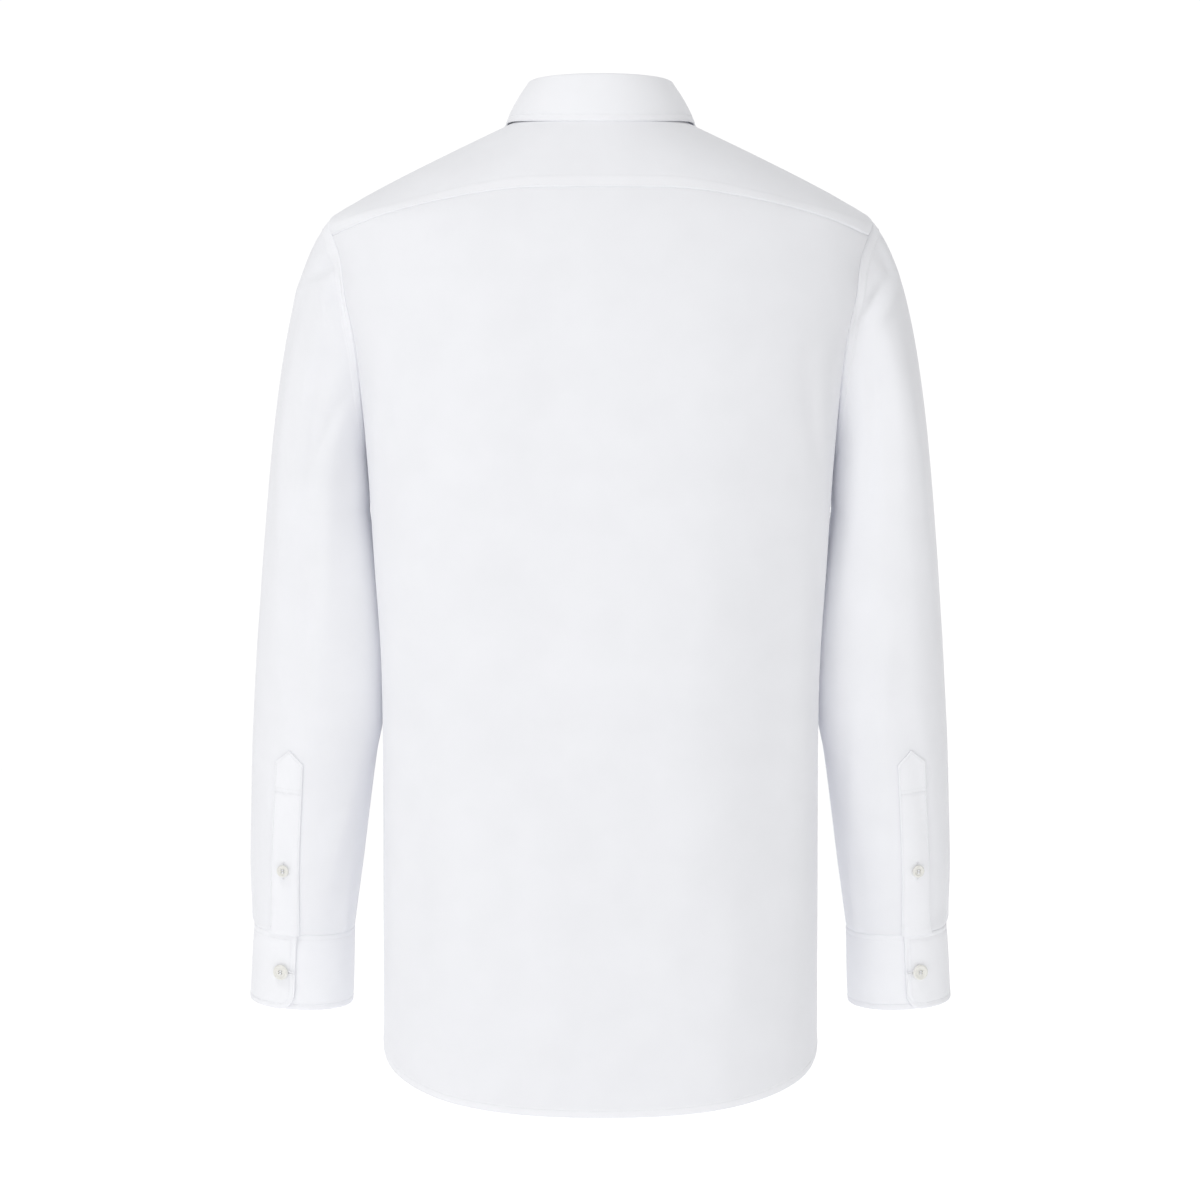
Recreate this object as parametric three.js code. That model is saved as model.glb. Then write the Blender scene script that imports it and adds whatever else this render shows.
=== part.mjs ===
// Long sleeve dress shirt, buttoned up and filled out as when it is worn, with nobody in it.
// Millimetres. Up is +Z, the back faces +Y and the wearer's left is +X.
// The origin is the middle of the neck opening, level with the inner ends of the shoulders.

import * as THREE from 'three';

// Cloth walls and the space between two pieces
const CLOTH = 1.5;
const FIRM_CLOTH = 1.8;
const STRIP_CLOTH = 1.2;
const SEAM = 0.3;

// Trunk, section by section from the neck down. half: half of the width. back and front: y of the cloth on
// the centre line. widest: y where the section is widest. square: 2 is an ellipse, more is squarer.
const TRUNK = [
  { z: 8, half: 64, back: 61, front: -54, widest: -3, square: 2 },
  { z: 0, half: 80.5, back: 68, front: -58, widest: -3, square: 2 },
  { z: -15, half: 112, back: 77.5, front: -64, widest: -3, square: 2 },
  { z: -30, half: 142.5, back: 85.5, front: -70, widest: -3, square: 2.03 },
  { z: -45, half: 172, back: 92.5, front: -76, widest: -3, square: 2.06 },
  { z: -60, half: 199, back: 98.5, front: -83, widest: -2, square: 2.1 },
  { z: -75, half: 221.5, back: 104, front: -89, widest: -2, square: 2.14 },
  { z: -90, half: 223, back: 108, front: -95, widest: -1, square: 2.2 },
  { z: -108, half: 220, back: 112, front: -101, widest: 0, square: 2.25 },
  { z: -141, half: 217, back: 117, front: -109, widest: 4, square: 2.3 },
  { z: -180, half: 204, back: 119.5, front: -116, widest: 16, square: 2.35 },
  { z: -215, half: 196, back: 119.5, front: -120, widest: 24, square: 2.35 },
  { z: -268, half: 191, back: 118, front: -123, widest: 23, square: 2.35 },
  { z: -350, half: 186, back: 113.5, front: -122, widest: 15, square: 2.35 },
  { z: -420, half: 181, back: 110.5, front: -119, widest: 12, square: 2.35 },
  { z: -470, half: 179, back: 109.5, front: -117, widest: 10, square: 2.35 },
  { z: -550, half: 177.8, back: 111, front: -116, widest: 7, square: 2.35 },
  { z: -650, half: 177.4, back: 114.5, front: -117, widest: 4, square: 2.35 },
  { z: -800, half: 177, back: 118, front: -119, widest: 2, square: 2.35 },
];

// Soft waves of the trunk's cloth. angle: place round the body, 0 is the middle of the back. z: height of
// the middle. spread: half width of the wave as an angle. reach: half of its length. rise: out of the body.
const TRUNK_WAVES = [
  { angle: 27, z: -390, spread: 13, reach: 240, rise: 2.4 },
  { angle: 9, z: -430, spread: 9, reach: 260, rise: -2.2 },
  { angle: -13, z: -520, spread: 11, reach: 210, rise: 1.8 },
  { angle: -44, z: -380, spread: 12, reach: 190, rise: -1.8 },
  { angle: -66, z: -560, spread: 9, reach: 200, rise: 1.6 },
  { angle: 58, z: -600, spread: 10, reach: 190, rise: -1.6 },
  { angle: 150, z: -430, spread: 12, reach: 210, rise: -2.0 },
  { angle: -138, z: -520, spread: 13, reach: 200, rise: -2.2 },
  { angle: 128, z: -610, spread: 10, reach: 170, rise: 1.8 },
];

// Seams on the trunk
const NECK_BACK_Z = 7;
const NECK_FRONT_Z = -62;
const YOKE_CENTRE_Z = -58;
const YOKE_LEVEL_ANGLE = 14;
const YOKE_NECK_ANGLE = 118;
const YOKE_RIDGE_ANGLE = 72;
const YOKE_ARMHOLE_TURN = 32;
const SIDE_SEAM_Y = -8;
const BACK_TAIL_Z = -794.5;
const FRONT_TAIL_Z = -775;
const SIDE_HEM_Z = -742.5;

// Armhole, an egg shape seen from the side
const ARMHOLE_TOP_Z = -75;
const ARMHOLE_BOTTOM_Z = -268;
const ARMHOLE_TOP_Y = -2;
const ARMHOLE_BOTTOM_Y = -8;
const ARMHOLE_BACK = 53;
const ARMHOLE_FRONT = 58;

// Left arm tube, from just below the armhole to the cuff. x and y: its centre line.
const ARM = [
  { z: -312, x: 232.5, y: -10, half: 41.5, deep: 67 },
  { z: -350, x: 232.5, y: -12, half: 44.5, deep: 64 },
  { z: -387, x: 232.5, y: -14, half: 47, deep: 61 },
  { z: -420, x: 232.5, y: -17, half: 49.4, deep: 58 },
  { z: -470, x: 233, y: -20, half: 51.6, deep: 55 },
  { z: -502, x: 236, y: -23, half: 50.4, deep: 52 },
  { z: -551, x: 239.5, y: -30, half: 48.6, deep: 49.5 },
  { z: -600, x: 242.8, y: -37, half: 46.1, deep: 47 },
  { z: -633, x: 244.5, y: -42, half: 43.2, deep: 43 },
  { z: -656, x: 245.8, y: -46, half: 41.2, deep: 38 },
];

// Folds of the sleeves. turn: place round the arm, 0 is its outer side and 90 its back. z: height of the
// middle. spread: half width as an angle. reach: half length. rise: out of the arm. side: 1 left, -1 right.
const SLEEVE_FOLDS = [
  { side: 1, turn: 70, z: -128, spread: 13, reach: 22, rise: -3.2 },
  { side: 1, turn: 128, z: -330, spread: 18, reach: 90, rise: -2.6 },
  { side: 1, turn: 20, z: -470, spread: 15, reach: 120, rise: 1.8 },
  { side: 1, turn: 300, z: -440, spread: 16, reach: 60, rise: -3.0 },
  { side: -1, turn: 84, z: -150, spread: 12, reach: 30, rise: -3.0 },
  { side: -1, turn: 60, z: -215, spread: 14, reach: 60, rise: 2.2 },
  { side: -1, turn: 118, z: -360, spread: 18, reach: 100, rise: -2.4 },
  { side: -1, turn: 290, z: -460, spread: 16, reach: 60, rise: -3.0 },
];

// Cuffs, the gauntlets above them and where their ends lap over
const CUFF_HEIGHT = 62;
const CUFF_BOTTOM = { x: 249.2, y: -57, half: 42.4, deep: 38.4 };
const CUFF_CORNER = 13;
const CUFF_TOP_END = 85;
const CUFF_UNDER_END = 52;
const CUFF_LAP = FIRM_CLOTH + 0.6;
const CUFF_STAND_OUT = 0.6;
const GAUNTLET_WIDTH = 25;
const GAUNTLET_LENGTH = 152;
const GAUNTLET_POINT = 10;
const GAUNTLET_TURN = 70;
const GAUNTLET_BUTTON_UP = 54;

// Collar: a stand round the neck and a fall turned down over it
const NECK_AXIS_Y = -8;
const STAND_HEIGHT = 26.7;
const STAND_FRONT_HEIGHT = 26;
const STAND_LEAN_SIDE = 0.865;
const STAND_LEAN_BACK = 0.9;
const STAND_LEAN_FRONT = 0.95;
const STAND_LIFT = 1.8;
const STAND_LAP = 3.8;
const FALL_BACK_Z = -3;
const FALL_SIDE_Z = 1.8;
const FALL_TIP_Z = -92;
const FALL_TIP_ANGLE = 168;
const FALL_FOLD_ANGLE = 177.3;
const FALL_CLEAR_BACK = 3.6;
const FALL_CLEAR = 2.6;
const FALL_BEND = [{ out: -1, up: 2.6 }, { out: 2.2, up: 2 }, { out: 4.1, up: -0.8 }];

// Front placket and buttons
const PLACKET_WIDTH = 35;
const PLACKET_LIFT = 0.5;
const UNDERLAP = 14;
const FRONT_BUTTONS = 6;
const FIRST_BUTTON_Z = -130;
const BUTTON_PITCH = 92;
const BUTTON_HEIGHT = 2.6;
const FRONT_BUTTON = 11.4;
const CUFF_BUTTON = 12.7;
const GAUNTLET_BUTTON = 10.2;
const BUTTON_SIDES = 14;
const BUTTON_SHANK = 0.4;

// How finely the panels are divided. The pieces that meet at a seam share its points.
const SIDE_SEAM_ROWS = 11;
const ARMHOLE_STEPS = 9;
const YOKE_ARMHOLE_STEPS = 6;
const YOKE_SEAM_STEPS = 18;
const YOKE_ROWS = 6;
const NECKLINE_STEPS = 10;
const STAND_STEPS = 40;
const FALL_STEPS = 36;
const CAP_ROWS = 9;
const ARM_ROWS = 11;

const WHITE = { color: 0xf0f1f5, roughness: 0.86, metalness: 0 };
const BUTTON_FINISH = { color: 0xe6e7e6, roughness: 0.35, metalness: 0 };

const radians = THREE.MathUtils.degToRad;
const smooth = THREE.MathUtils.smoothstep;
const mix = THREE.MathUtils.lerp;

// Value of one column of a table at height z, on a smooth curve through its rows.
function column(table, name, z) {
  const last = table.length - 1;
  let i = 0;
  while (i < last - 1 && z < table[i + 1].z) i += 1;
  const slope = (k) => {
    const a = table[Math.max(k - 1, 0)];
    const b = table[Math.min(k + 1, last)];
    return (b[name] - a[name]) / (b.z - a.z);
  };
  const from = table[i];
  const to = table[i + 1];
  const span = to.z - from.z;
  const t = THREE.MathUtils.clamp((z - from.z) / span, 0, 1);
  const bend = t * t * (3 - 2 * t);
  const start = t * (1 - t) * (1 - t) * span * slope(i);
  const end = t * t * (t - 1) * span * slope(i + 1);
  return from[name] * (1 - bend) + to[name] * bend + start + end;
}

const signedPower = (value, power) => Math.sign(value) * Math.abs(value) ** power;

// Point of the smooth trunk at an angle round the body, in degrees from the middle of the back, and a height.
function smoothTrunk({ angle, z }) {
  const turn = radians(angle);
  const power = 2 / column(TRUNK, 'square', z);
  const widest = column(TRUNK, 'widest', z);
  const reach = Math.cos(turn) >= 0 ? column(TRUNK, 'back', z) - widest : widest - column(TRUNK, 'front', z);
  return new THREE.Vector3(
    column(TRUNK, 'half', z) * signedPower(Math.sin(turn), power),
    widest + reach * signedPower(Math.cos(turn), power),
    z,
  );
}

// Place on the trunk, as an angle and a height, in the direction of a point that may lie off it.
function placeOf({ x, y, z }) {
  const power = column(TRUNK, 'square', z) / 2;
  const widest = column(TRUNK, 'widest', z);
  const reach = y >= widest ? column(TRUNK, 'back', z) - widest : widest - column(TRUNK, 'front', z);
  const across = signedPower(x / column(TRUNK, 'half', z), power);
  return { angle: THREE.MathUtils.radToDeg(Math.atan2(across, signedPower((y - widest) / reach, power))), z };
}

// Point of the trunk with its waves.
function trunkPoint({ angle, z }) {
  const turn = radians(angle);
  let out = 0;
  for (const wave of TRUNK_WAVES) {
    const across = (angle - wave.angle) / wave.spread;
    const up = (z - wave.z) / wave.reach;
    out += wave.rise * Math.exp(-across * across - up * up);
  }
  return smoothTrunk({ angle, z }).add(new THREE.Vector3(Math.sin(turn), Math.cos(turn), 0).multiplyScalar(out));
}

function trunkNormal({ angle, z }) {
  const step = 0.5;
  const round = trunkPoint({ angle: angle + step, z }).sub(trunkPoint({ angle: angle - step, z }));
  const down = trunkPoint({ angle, z: z - step }).sub(trunkPoint({ angle, z: z + step }));
  return round.cross(down).normalize();
}

// Angle round the trunk of the point with the given y, on the left side.
function angleAtY(y, z) {
  const widest = column(TRUNK, 'widest', z);
  const behind = y >= widest;
  const reach = behind ? column(TRUNK, 'back', z) - widest : widest - column(TRUNK, 'front', z);
  const share = (Math.abs(y - widest) / reach) ** (column(TRUNK, 'square', z) / 2);
  return THREE.MathUtils.radToDeg(Math.acos(behind ? share : -share));
}

// Angle of the point of the front with the given x.
function frontAngleAtX(x, z) {
  const share = (Math.abs(x) / column(TRUNK, 'half', z)) ** (column(TRUNK, 'square', z) / 2);
  return 180 - Math.sign(x) * THREE.MathUtils.radToDeg(Math.asin(share));
}

// Armhole, by turn round the egg: 0 is the top, 90 the back, 180 the underarm and -90 the front.
function armhole(turn) {
  const t = radians(turn);
  const middle = (ARMHOLE_TOP_Z + ARMHOLE_BOTTOM_Z) / 2;
  const z = middle + ((ARMHOLE_TOP_Z - ARMHOLE_BOTTOM_Z) / 2) * Math.cos(t);
  const axis = mix(ARMHOLE_TOP_Y, ARMHOLE_BOTTOM_Y, (1 - Math.cos(t)) / 2);
  const y = axis + (turn > 0 ? ARMHOLE_BACK : ARMHOLE_FRONT) * Math.sin(t);
  return { angle: angleAtY(y, z), z };
}

const YOKE_BACK_CORNER = armhole(YOKE_ARMHOLE_TURN);
const YOKE_FRONT_CORNER = armhole(-YOKE_ARMHOLE_TURN);

// Neckline: level behind the neck. In front it follows an oval, seen from above, and its height is found
// by halving.
function neckline(angle) {
  if (Math.abs(angle) <= 90) return { angle, z: NECK_BACK_Z };
  const middle = smoothTrunk({ angle: 90, z: NECK_BACK_Z });
  const deep = middle.y - smoothTrunk({ angle: 180, z: NECK_FRONT_Z }).y;
  let high = NECK_BACK_Z;
  let low = NECK_FRONT_Z;
  for (let i = 0; i < 30; i += 1) {
    const z = (high + low) / 2;
    const { x, y } = smoothTrunk({ angle, z });
    if (Math.hypot(x / middle.x, (y - middle.y) / deep) < 1) high = z;
    else low = z;
  }
  return { angle, z: high };
}

function yokeSeam(angle) {
  const fall = smooth(Math.abs(angle), YOKE_LEVEL_ANGLE, YOKE_BACK_CORNER.angle);
  return { angle, z: mix(YOKE_CENTRE_Z, YOKE_BACK_CORNER.z, fall) };
}

// Seam between yoke and front, from the neck at 0 to the armhole at 1.
function frontYokeSeam(share) {
  const start = neckline(YOKE_NECK_ANGLE);
  return {
    angle: mix(start.angle, YOKE_FRONT_CORNER.angle, share),
    z: mix(start.z, YOKE_FRONT_CORNER.z, share),
  };
}

const sideSeam = (z) => ({ angle: angleAtY(SIDE_SEAM_Y, z), z });

const mirrored = ({ angle, z }) => ({ angle: -angle, z });

// Shares 0 to 1 in even steps.
const shares = (steps) => Array.from({ length: steps + 1 }, (unused, i) => i / steps);

// Share of a front or back edge, from the hem up, that is side seam. The rest is armhole.
const SIDE_SHARE = (ARMHOLE_BOTTOM_Z - SIDE_HEM_Z) / (YOKE_BACK_CORNER.z - SIDE_HEM_Z);
const PANEL_ROWS = [
  ...shares(SIDE_SEAM_ROWS).map((t) => t * SIDE_SHARE),
  ...shares(ARMHOLE_STEPS).slice(1).map((t) => mix(SIDE_SHARE, 1, t)),
];

const PANEL_LATE = 4;

// Left edge of a panel at a share of its height, up the side seam and round the armhole.
function panelEdge(share, direction) {
  if (share <= SIDE_SHARE) return sideSeam(mix(SIDE_HEM_Z, ARMHOLE_BOTTOM_Z, share / SIDE_SHARE));
  const up = (share - SIDE_SHARE) / (1 - SIDE_SHARE);
  return armhole(direction * mix(180, YOKE_ARMHOLE_TURN, up));
}

// Grid of places between four edges. Each edge is a list of places, and the four share their corners.
// The rows stay like the low edge for longer when late is more than 1.
function fillBetween(lowEdge, highEdge, nearEdge, farEdge, across, up, late = 1) {
  const [low, high, near, far] = [lowEdge, highEdge, nearEdge, farEdge].map((edge) => edge.map(smoothTrunk));
  return up.map((v, j) => across.map((u, i) => {
    const height = v ** late;
    const blend = (key) => {
      const rows = mix(low[i][key], high[i][key], height) + mix(near[j][key], far[j][key], u);
      const lowCorners = mix(near[0][key], far[0][key], u);
      const highCorners = mix(near.at(-1)[key], far.at(-1)[key], u);
      return rows - mix(lowCorners, highCorners, height);
    };
    return placeOf({ x: blend('x'), y: blend('y'), z: blend('z') });
  }));
}

// Closed body between two grids of points that face each other. A ring joins its last column to its first.
function bodyBetween(outer, inner, ring = false) {
  const rows = outer.length;
  const columns = outer[0].length;
  const positions = [...outer.flat(), ...inner.flat()].flatMap((p) => [p.x, p.y, p.z]);
  const faces = [];
  const outerAt = (j, i) => j * columns + (i % columns);
  const innerAt = (j, i) => rows * columns + outerAt(j, i);
  const quad = (a, b, c, d) => faces.push(a, b, c, a, c, d);
  const spans = ring ? columns : columns - 1;
  for (let i = 0; i < spans; i += 1) {
    for (let j = 0; j < rows - 1; j += 1) {
      quad(outerAt(j, i), outerAt(j, i + 1), outerAt(j + 1, i + 1), outerAt(j + 1, i));
      quad(innerAt(j, i), innerAt(j + 1, i), innerAt(j + 1, i + 1), innerAt(j, i + 1));
    }
    quad(innerAt(0, i), innerAt(0, i + 1), outerAt(0, i + 1), outerAt(0, i));
    quad(outerAt(rows - 1, i), outerAt(rows - 1, i + 1), innerAt(rows - 1, i + 1), innerAt(rows - 1, i));
  }
  if (!ring) {
    for (let j = 0; j < rows - 1; j += 1) {
      quad(outerAt(j, 0), outerAt(j + 1, 0), innerAt(j + 1, 0), innerAt(j, 0));
      quad(innerAt(j, spans), innerAt(j + 1, spans), outerAt(j + 1, spans), outerAt(j, spans));
    }
  }
  const corner = (k) => new THREE.Vector3(...positions.slice(3 * k, 3 * k + 3));
  let volume = 0;
  for (let k = 0; k < faces.length; k += 3) {
    volume += corner(faces[k]).dot(corner(faces[k + 1]).cross(corner(faces[k + 2])));
  }
  if (volume < 0) faces.reverse();
  const geometry = new THREE.BufferGeometry();
  geometry.setAttribute('position', new THREE.Float32BufferAttribute(positions, 3));
  geometry.setIndex(faces);
  geometry.computeVertexNormals();
  return geometry;
}

const shift = (point, direction, distance) => point.clone().addScaledVector(direction, distance);

// Moves the outermost points of a grid in by half a seam, on the sides that are named.
function trim(grid, sides) {
  const rows = grid.length;
  const columns = grid[0].length;
  const pull = (j, i, toJ, toI) => {
    const inward = grid[toJ][toI].clone().sub(grid[j][i]).normalize();
    grid[j][i].addScaledVector(inward, SEAM / 2);
  };
  for (let i = 0; i < columns; i += 1) {
    if (sides.includes('low')) pull(0, i, 1, i);
    if (sides.includes('high')) pull(rows - 1, i, rows - 2, i);
  }
  for (let j = 0; j < rows; j += 1) {
    if (sides.includes('near')) pull(j, 0, j, 1);
    if (sides.includes('far')) pull(j, columns - 1, j, columns - 2);
  }
  return grid;
}

// Panel of the trunk, with its outside on the trunk's surface.
function trunkPanel(places, sides) {
  const outer = trim(places.map((row) => row.map(trunkPoint)), sides);
  const inner = places.map((row, j) => row.map((place, i) => shift(outer[j][i], trunkNormal(place), -CLOTH)));
  return bodyBetween(outer, inner);
}

const shirt = new THREE.Group();

function addPiece(name, geometry, finish = WHITE) {
  const mesh = new THREE.Mesh(geometry, new THREE.MeshStandardMaterial(finish));
  mesh.name = name;
  shirt.add(mesh);
  return mesh;
}

// Back, from the right side seam to the left one
function makeBack() {
  const across = shares(YOKE_SEAM_STEPS);
  const hem = across.map((u) => {
    const side = 2 * u - 1;
    return { angle: side * sideSeam(SIDE_HEM_Z).angle, z: mix(BACK_TAIL_Z, SIDE_HEM_Z, side * side) };
  });
  const top = across.map((u) => yokeSeam((2 * u - 1) * YOKE_BACK_CORNER.angle));
  const left = PANEL_ROWS.map((v) => panelEdge(v, 1));
  const places = fillBetween(hem, top, left.map(mirrored), left, across, PANEL_ROWS, PANEL_LATE);
  addPiece('back', trunkPanel(places, ['high', 'near', 'far']));
}

// One front, from its edge at the placket to its side seam
const NECKLINE_SHARE = 0.45;
const FRONT_COLUMNS = [
  ...shares(NECKLINE_STEPS).map((t) => t * NECKLINE_SHARE),
  ...shares(YOKE_ROWS).slice(1).map((t) => mix(NECKLINE_SHARE, 1, t)),
];

// Angle of the point of the neckline in front with the given x.
function neckAngleAtX(x) {
  let angle = frontAngleAtX(x, NECK_FRONT_Z);
  for (let i = 0; i < 12; i += 1) angle = frontAngleAtX(x, neckline(angle).z);
  return angle;
}

function makeFront(name, side, edgeX) {
  const edgeAt = (z) => ({ angle: frontAngleAtX(edgeX, z), z });
  const neckAngle = neckAngleAtX(edgeX);
  const hemAngle = edgeAt(FRONT_TAIL_Z).angle;
  const seamAngle = sideSeam(SIDE_HEM_Z).angle;
  const hem = FRONT_COLUMNS.map((u) => ({
    angle: mix(hemAngle, seamAngle, u),
    z: mix(FRONT_TAIL_Z, SIDE_HEM_Z, u * u),
  }));
  const top = FRONT_COLUMNS.map((u) => {
    if (u > NECKLINE_SHARE) return frontYokeSeam((u - NECKLINE_SHARE) / (1 - NECKLINE_SHARE));
    return neckline(mix(neckAngle, YOKE_NECK_ANGLE, (u / NECKLINE_SHARE) ** 1.5));
  });
  const near = PANEL_ROWS.map((v) => edgeAt(mix(FRONT_TAIL_Z, top[0].z, v)));
  const far = PANEL_ROWS.map((v) => panelEdge(v, -1));
  const places = fillBetween(hem, top, near, far, FRONT_COLUMNS, PANEL_ROWS, PANEL_LATE);
  const placed = side > 0 ? places : places.map((row) => row.map(mirrored));
  addPiece(name, trunkPanel(placed, ['high', 'far']));
}

// Yoke, from the right front seam round the back of the neck to the left one
function makeYoke() {
  const armholeTurns = shares(YOKE_ARMHOLE_STEPS).map((t) => mix(-YOKE_ARMHOLE_TURN, YOKE_ARMHOLE_TURN, t));
  const overShoulder = armholeTurns.map((turn, i) => ({
    neck: neckline(mix(YOKE_NECK_ANGLE, YOKE_RIDGE_ANGLE, i / YOKE_ARMHOLE_STEPS)),
    outer: armhole(turn),
  }));
  const overBack = shares(YOKE_SEAM_STEPS).slice(1, -1).map((t) => ({
    neck: neckline(mix(YOKE_RIDGE_ANGLE, -YOKE_RIDGE_ANGLE, t)),
    outer: yokeSeam(mix(YOKE_BACK_CORNER.angle, -YOKE_BACK_CORNER.angle, t)),
  }));
  const otherShoulder = overShoulder.map(({ neck, outer }) => ({
    neck: mirrored(neck),
    outer: mirrored(outer),
  })).reverse();
  const spokes = [...overShoulder, ...overBack, ...otherShoulder];
  const rows = shares(YOKE_ROWS);
  const leftSeam = rows.map(frontYokeSeam);
  const places = fillBetween(
    spokes.map((spoke) => spoke.neck),
    spokes.map((spoke) => spoke.outer),
    leftSeam,
    leftSeam.map(mirrored),
    spokes.map((unused, i) => i / (spokes.length - 1)),
    rows,
  );
  addPiece('yoke', trunkPanel(places, ['low', 'high', 'near', 'far']));
}

makeBack();
makeYoke();
makeFront('front_left', 1, PLACKET_WIDTH / 2 + SEAM);
makeFront('front_right', -1, -UNDERLAP);

// Section of the arm at height z: its centre and the two directions of its plane.
function armSection(z) {
  const centre = (height) => new THREE.Vector3(column(ARM, 'x', height), column(ARM, 'y', height), height);
  const near = THREE.MathUtils.clamp(z, ARM.at(-1).z + 1, ARM[0].z - 1);
  const axis = centre(near - 1).sub(centre(near + 1)).normalize();
  const outward = new THREE.Vector3(1, 0, 0).addScaledVector(axis, -axis.x).normalize();
  return { centre: centre(z), axis, outward, backward: outward.clone().cross(axis) };
}

function foldOf(side, turn, z) {
  let out = 0;
  for (const fold of SLEEVE_FOLDS) {
    if (fold.side === side) {
      const across = (THREE.MathUtils.euclideanModulo(turn - fold.turn + 180, 360) - 180) / fold.spread;
      const up = (z - fold.z) / fold.reach;
      out += fold.rise * Math.exp(-across * across - up * up);
    }
  }
  return out;
}

function ovalPoint(section, half, deep, turn, out = 0) {
  const t = radians(turn);
  return section.centre.clone()
    .addScaledVector(section.outward, (half + out) * Math.cos(t))
    .addScaledVector(section.backward, (deep + out) * Math.sin(t));
}

function armPoint(side, turn, z, out = 0) {
  const fold = foldOf(side, turn, z);
  return ovalPoint(armSection(z), column(ARM, 'half', z), column(ARM, 'deep', z), turn, out + fold);
}

// Sleeve head, from the armhole at 0 to the top of the arm tube at 1. It leaves the armhole steeply over
// the shoulder and straight down at the underarm.
const CAP_OUT_TOP = 0.67;
const CAP_OUT_BOTTOM = 0.35;
const CAP_TURN_IN = 0.4;
const CAP_START = { middle: 62, change: 38 };
const CAP_END = { least: 60, most: 420, power: 1.5 };

function capPoint(side, turn, share) {
  const t = radians(turn);
  const top = (1 + Math.cos(t)) / 2;
  const from = trunkPoint(armhole(turn));
  const to = armPoint(side, turn, ARM[0].z);
  const out = mix(CAP_OUT_BOTTOM, CAP_OUT_TOP, Math.sqrt(top));
  const start = new THREE.Vector3(out, -CAP_TURN_IN * Math.sin(2 * t), -0.75).normalize();
  start.multiplyScalar(CAP_START.middle + CAP_START.change * Math.cos(t));
  const end = armPoint(side, turn, ARM[0].z - 1).sub(to).normalize();
  end.multiplyScalar(CAP_END.least + CAP_END.most * top ** CAP_END.power);
  const s = share;
  const point = from.multiplyScalar(2 * s ** 3 - 3 * s ** 2 + 1)
    .addScaledVector(start, s ** 3 - 2 * s ** 2 + s)
    .addScaledVector(to, 3 * s ** 2 - 2 * s ** 3)
    .addScaledVector(end, s ** 3 - s ** 2);
  const swell = foldOf(side, turn, point.z) * Math.sin(Math.PI * s);
  return point.add(new THREE.Vector3(Math.cos(t), Math.sin(t), 0).multiplyScalar(swell));
}

const sleevePoint = (side, turn, share) => {
  if (share <= 1) return capPoint(side, turn, share);
  return armPoint(side, turn, mix(ARM[0].z, ARM.at(-1).z, share - 1));
};

function sleeveNormal(side, turn, share) {
  const step = 0.004;
  const above = Math.max(share - step, 0);
  const round = sleevePoint(side, turn + 1, share).sub(sleevePoint(side, turn - 1, share));
  const down = sleevePoint(side, turn, Math.min(share + step, 2)).sub(sleevePoint(side, turn, above));
  return down.cross(round).normalize();
}

// Turns round the armhole where the panels and the yoke have their points
const ARMHOLE_TURNS = [
  ...shares(YOKE_ARMHOLE_STEPS).map((t) => mix(-YOKE_ARMHOLE_TURN, YOKE_ARMHOLE_TURN, t)),
  ...shares(ARMHOLE_STEPS).slice(1).map((t) => mix(YOKE_ARMHOLE_TURN, 180, t)),
  ...shares(ARMHOLE_STEPS).slice(1, -1).map((t) => mix(-180, -YOKE_ARMHOLE_TURN, t)),
];

// The right side is the left one mirrored in X.
const onSide = (side, point) => new THREE.Vector3(side * point.x, point.y, point.z);
const gridOnSide = (side, grid) => grid.map((row) => row.map((point) => onSide(side, point)));

function makeSleeve(name, side) {
  const rows = [...shares(CAP_ROWS).map((t) => t ** 1.4), ...shares(ARM_ROWS).slice(1).map((t) => 1 + t)];
  const outer = trim(rows.map((share) => ARMHOLE_TURNS.map((turn) => sleevePoint(side, turn, share))), 'low');
  const inner = rows.map((share, j) => ARMHOLE_TURNS.map((turn, i) => {
    const normal = sleeveNormal(side, turn, share);
    if (j === 0) {
      const seamNormal = trunkNormal(armhole(turn));
      const follow = smooth(normal.dot(seamNormal), -0.2, 0.6);
      outer[0][i].addScaledVector(seamNormal, (1 - follow) * SEAM);
      normal.lerp(seamNormal, follow).normalize();
    }
    return shift(outer[j][i], normal, -CLOTH);
  }));
  addPiece(name, bodyBetween(gridOnSide(side, outer), gridOnSide(side, inner), true));
}

// Gauntlet: a strip on the back of the sleeve, with its buttoned edge towards the body and a pointed top
function gauntletSpot(along, across) {
  const z = ARM.at(-1).z + along;
  const t = radians(GAUNTLET_TURN);
  const radius = Math.hypot(column(ARM, 'half', z) * Math.sin(t), column(ARM, 'deep', z) * Math.cos(t));
  return { turn: GAUNTLET_TURN + across / radians(radius), z };
}

function makeGauntlet(name, side) {
  const across = shares(4).map((t) => mix(-1, 1, t));
  const rows = shares(8).map((t) => across.map((u) => {
    const top = GAUNTLET_LENGTH - GAUNTLET_POINT * Math.abs(u);
    return gauntletSpot(mix(SEAM, top, t), (u * GAUNTLET_WIDTH) / 2);
  }));
  const layer = (out) => rows.map((row) => row.map(({ turn, z }) => armPoint(side, turn, z, out)));
  const outer = gridOnSide(side, layer(SEAM + STRIP_CLOTH));
  const inner = gridOnSide(side, layer(SEAM));
  addPiece(name, bodyBetween(outer, inner));
}

// Cuff: a band whose end towards the body lies on top of the other end
const WRIST = armSection(ARM.at(-1).z);
const CUFF_END_SECTION = {
  ...WRIST,
  centre: new THREE.Vector3(CUFF_BOTTOM.x, CUFF_BOTTOM.y, WRIST.centre.z - CUFF_HEIGHT),
};

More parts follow.
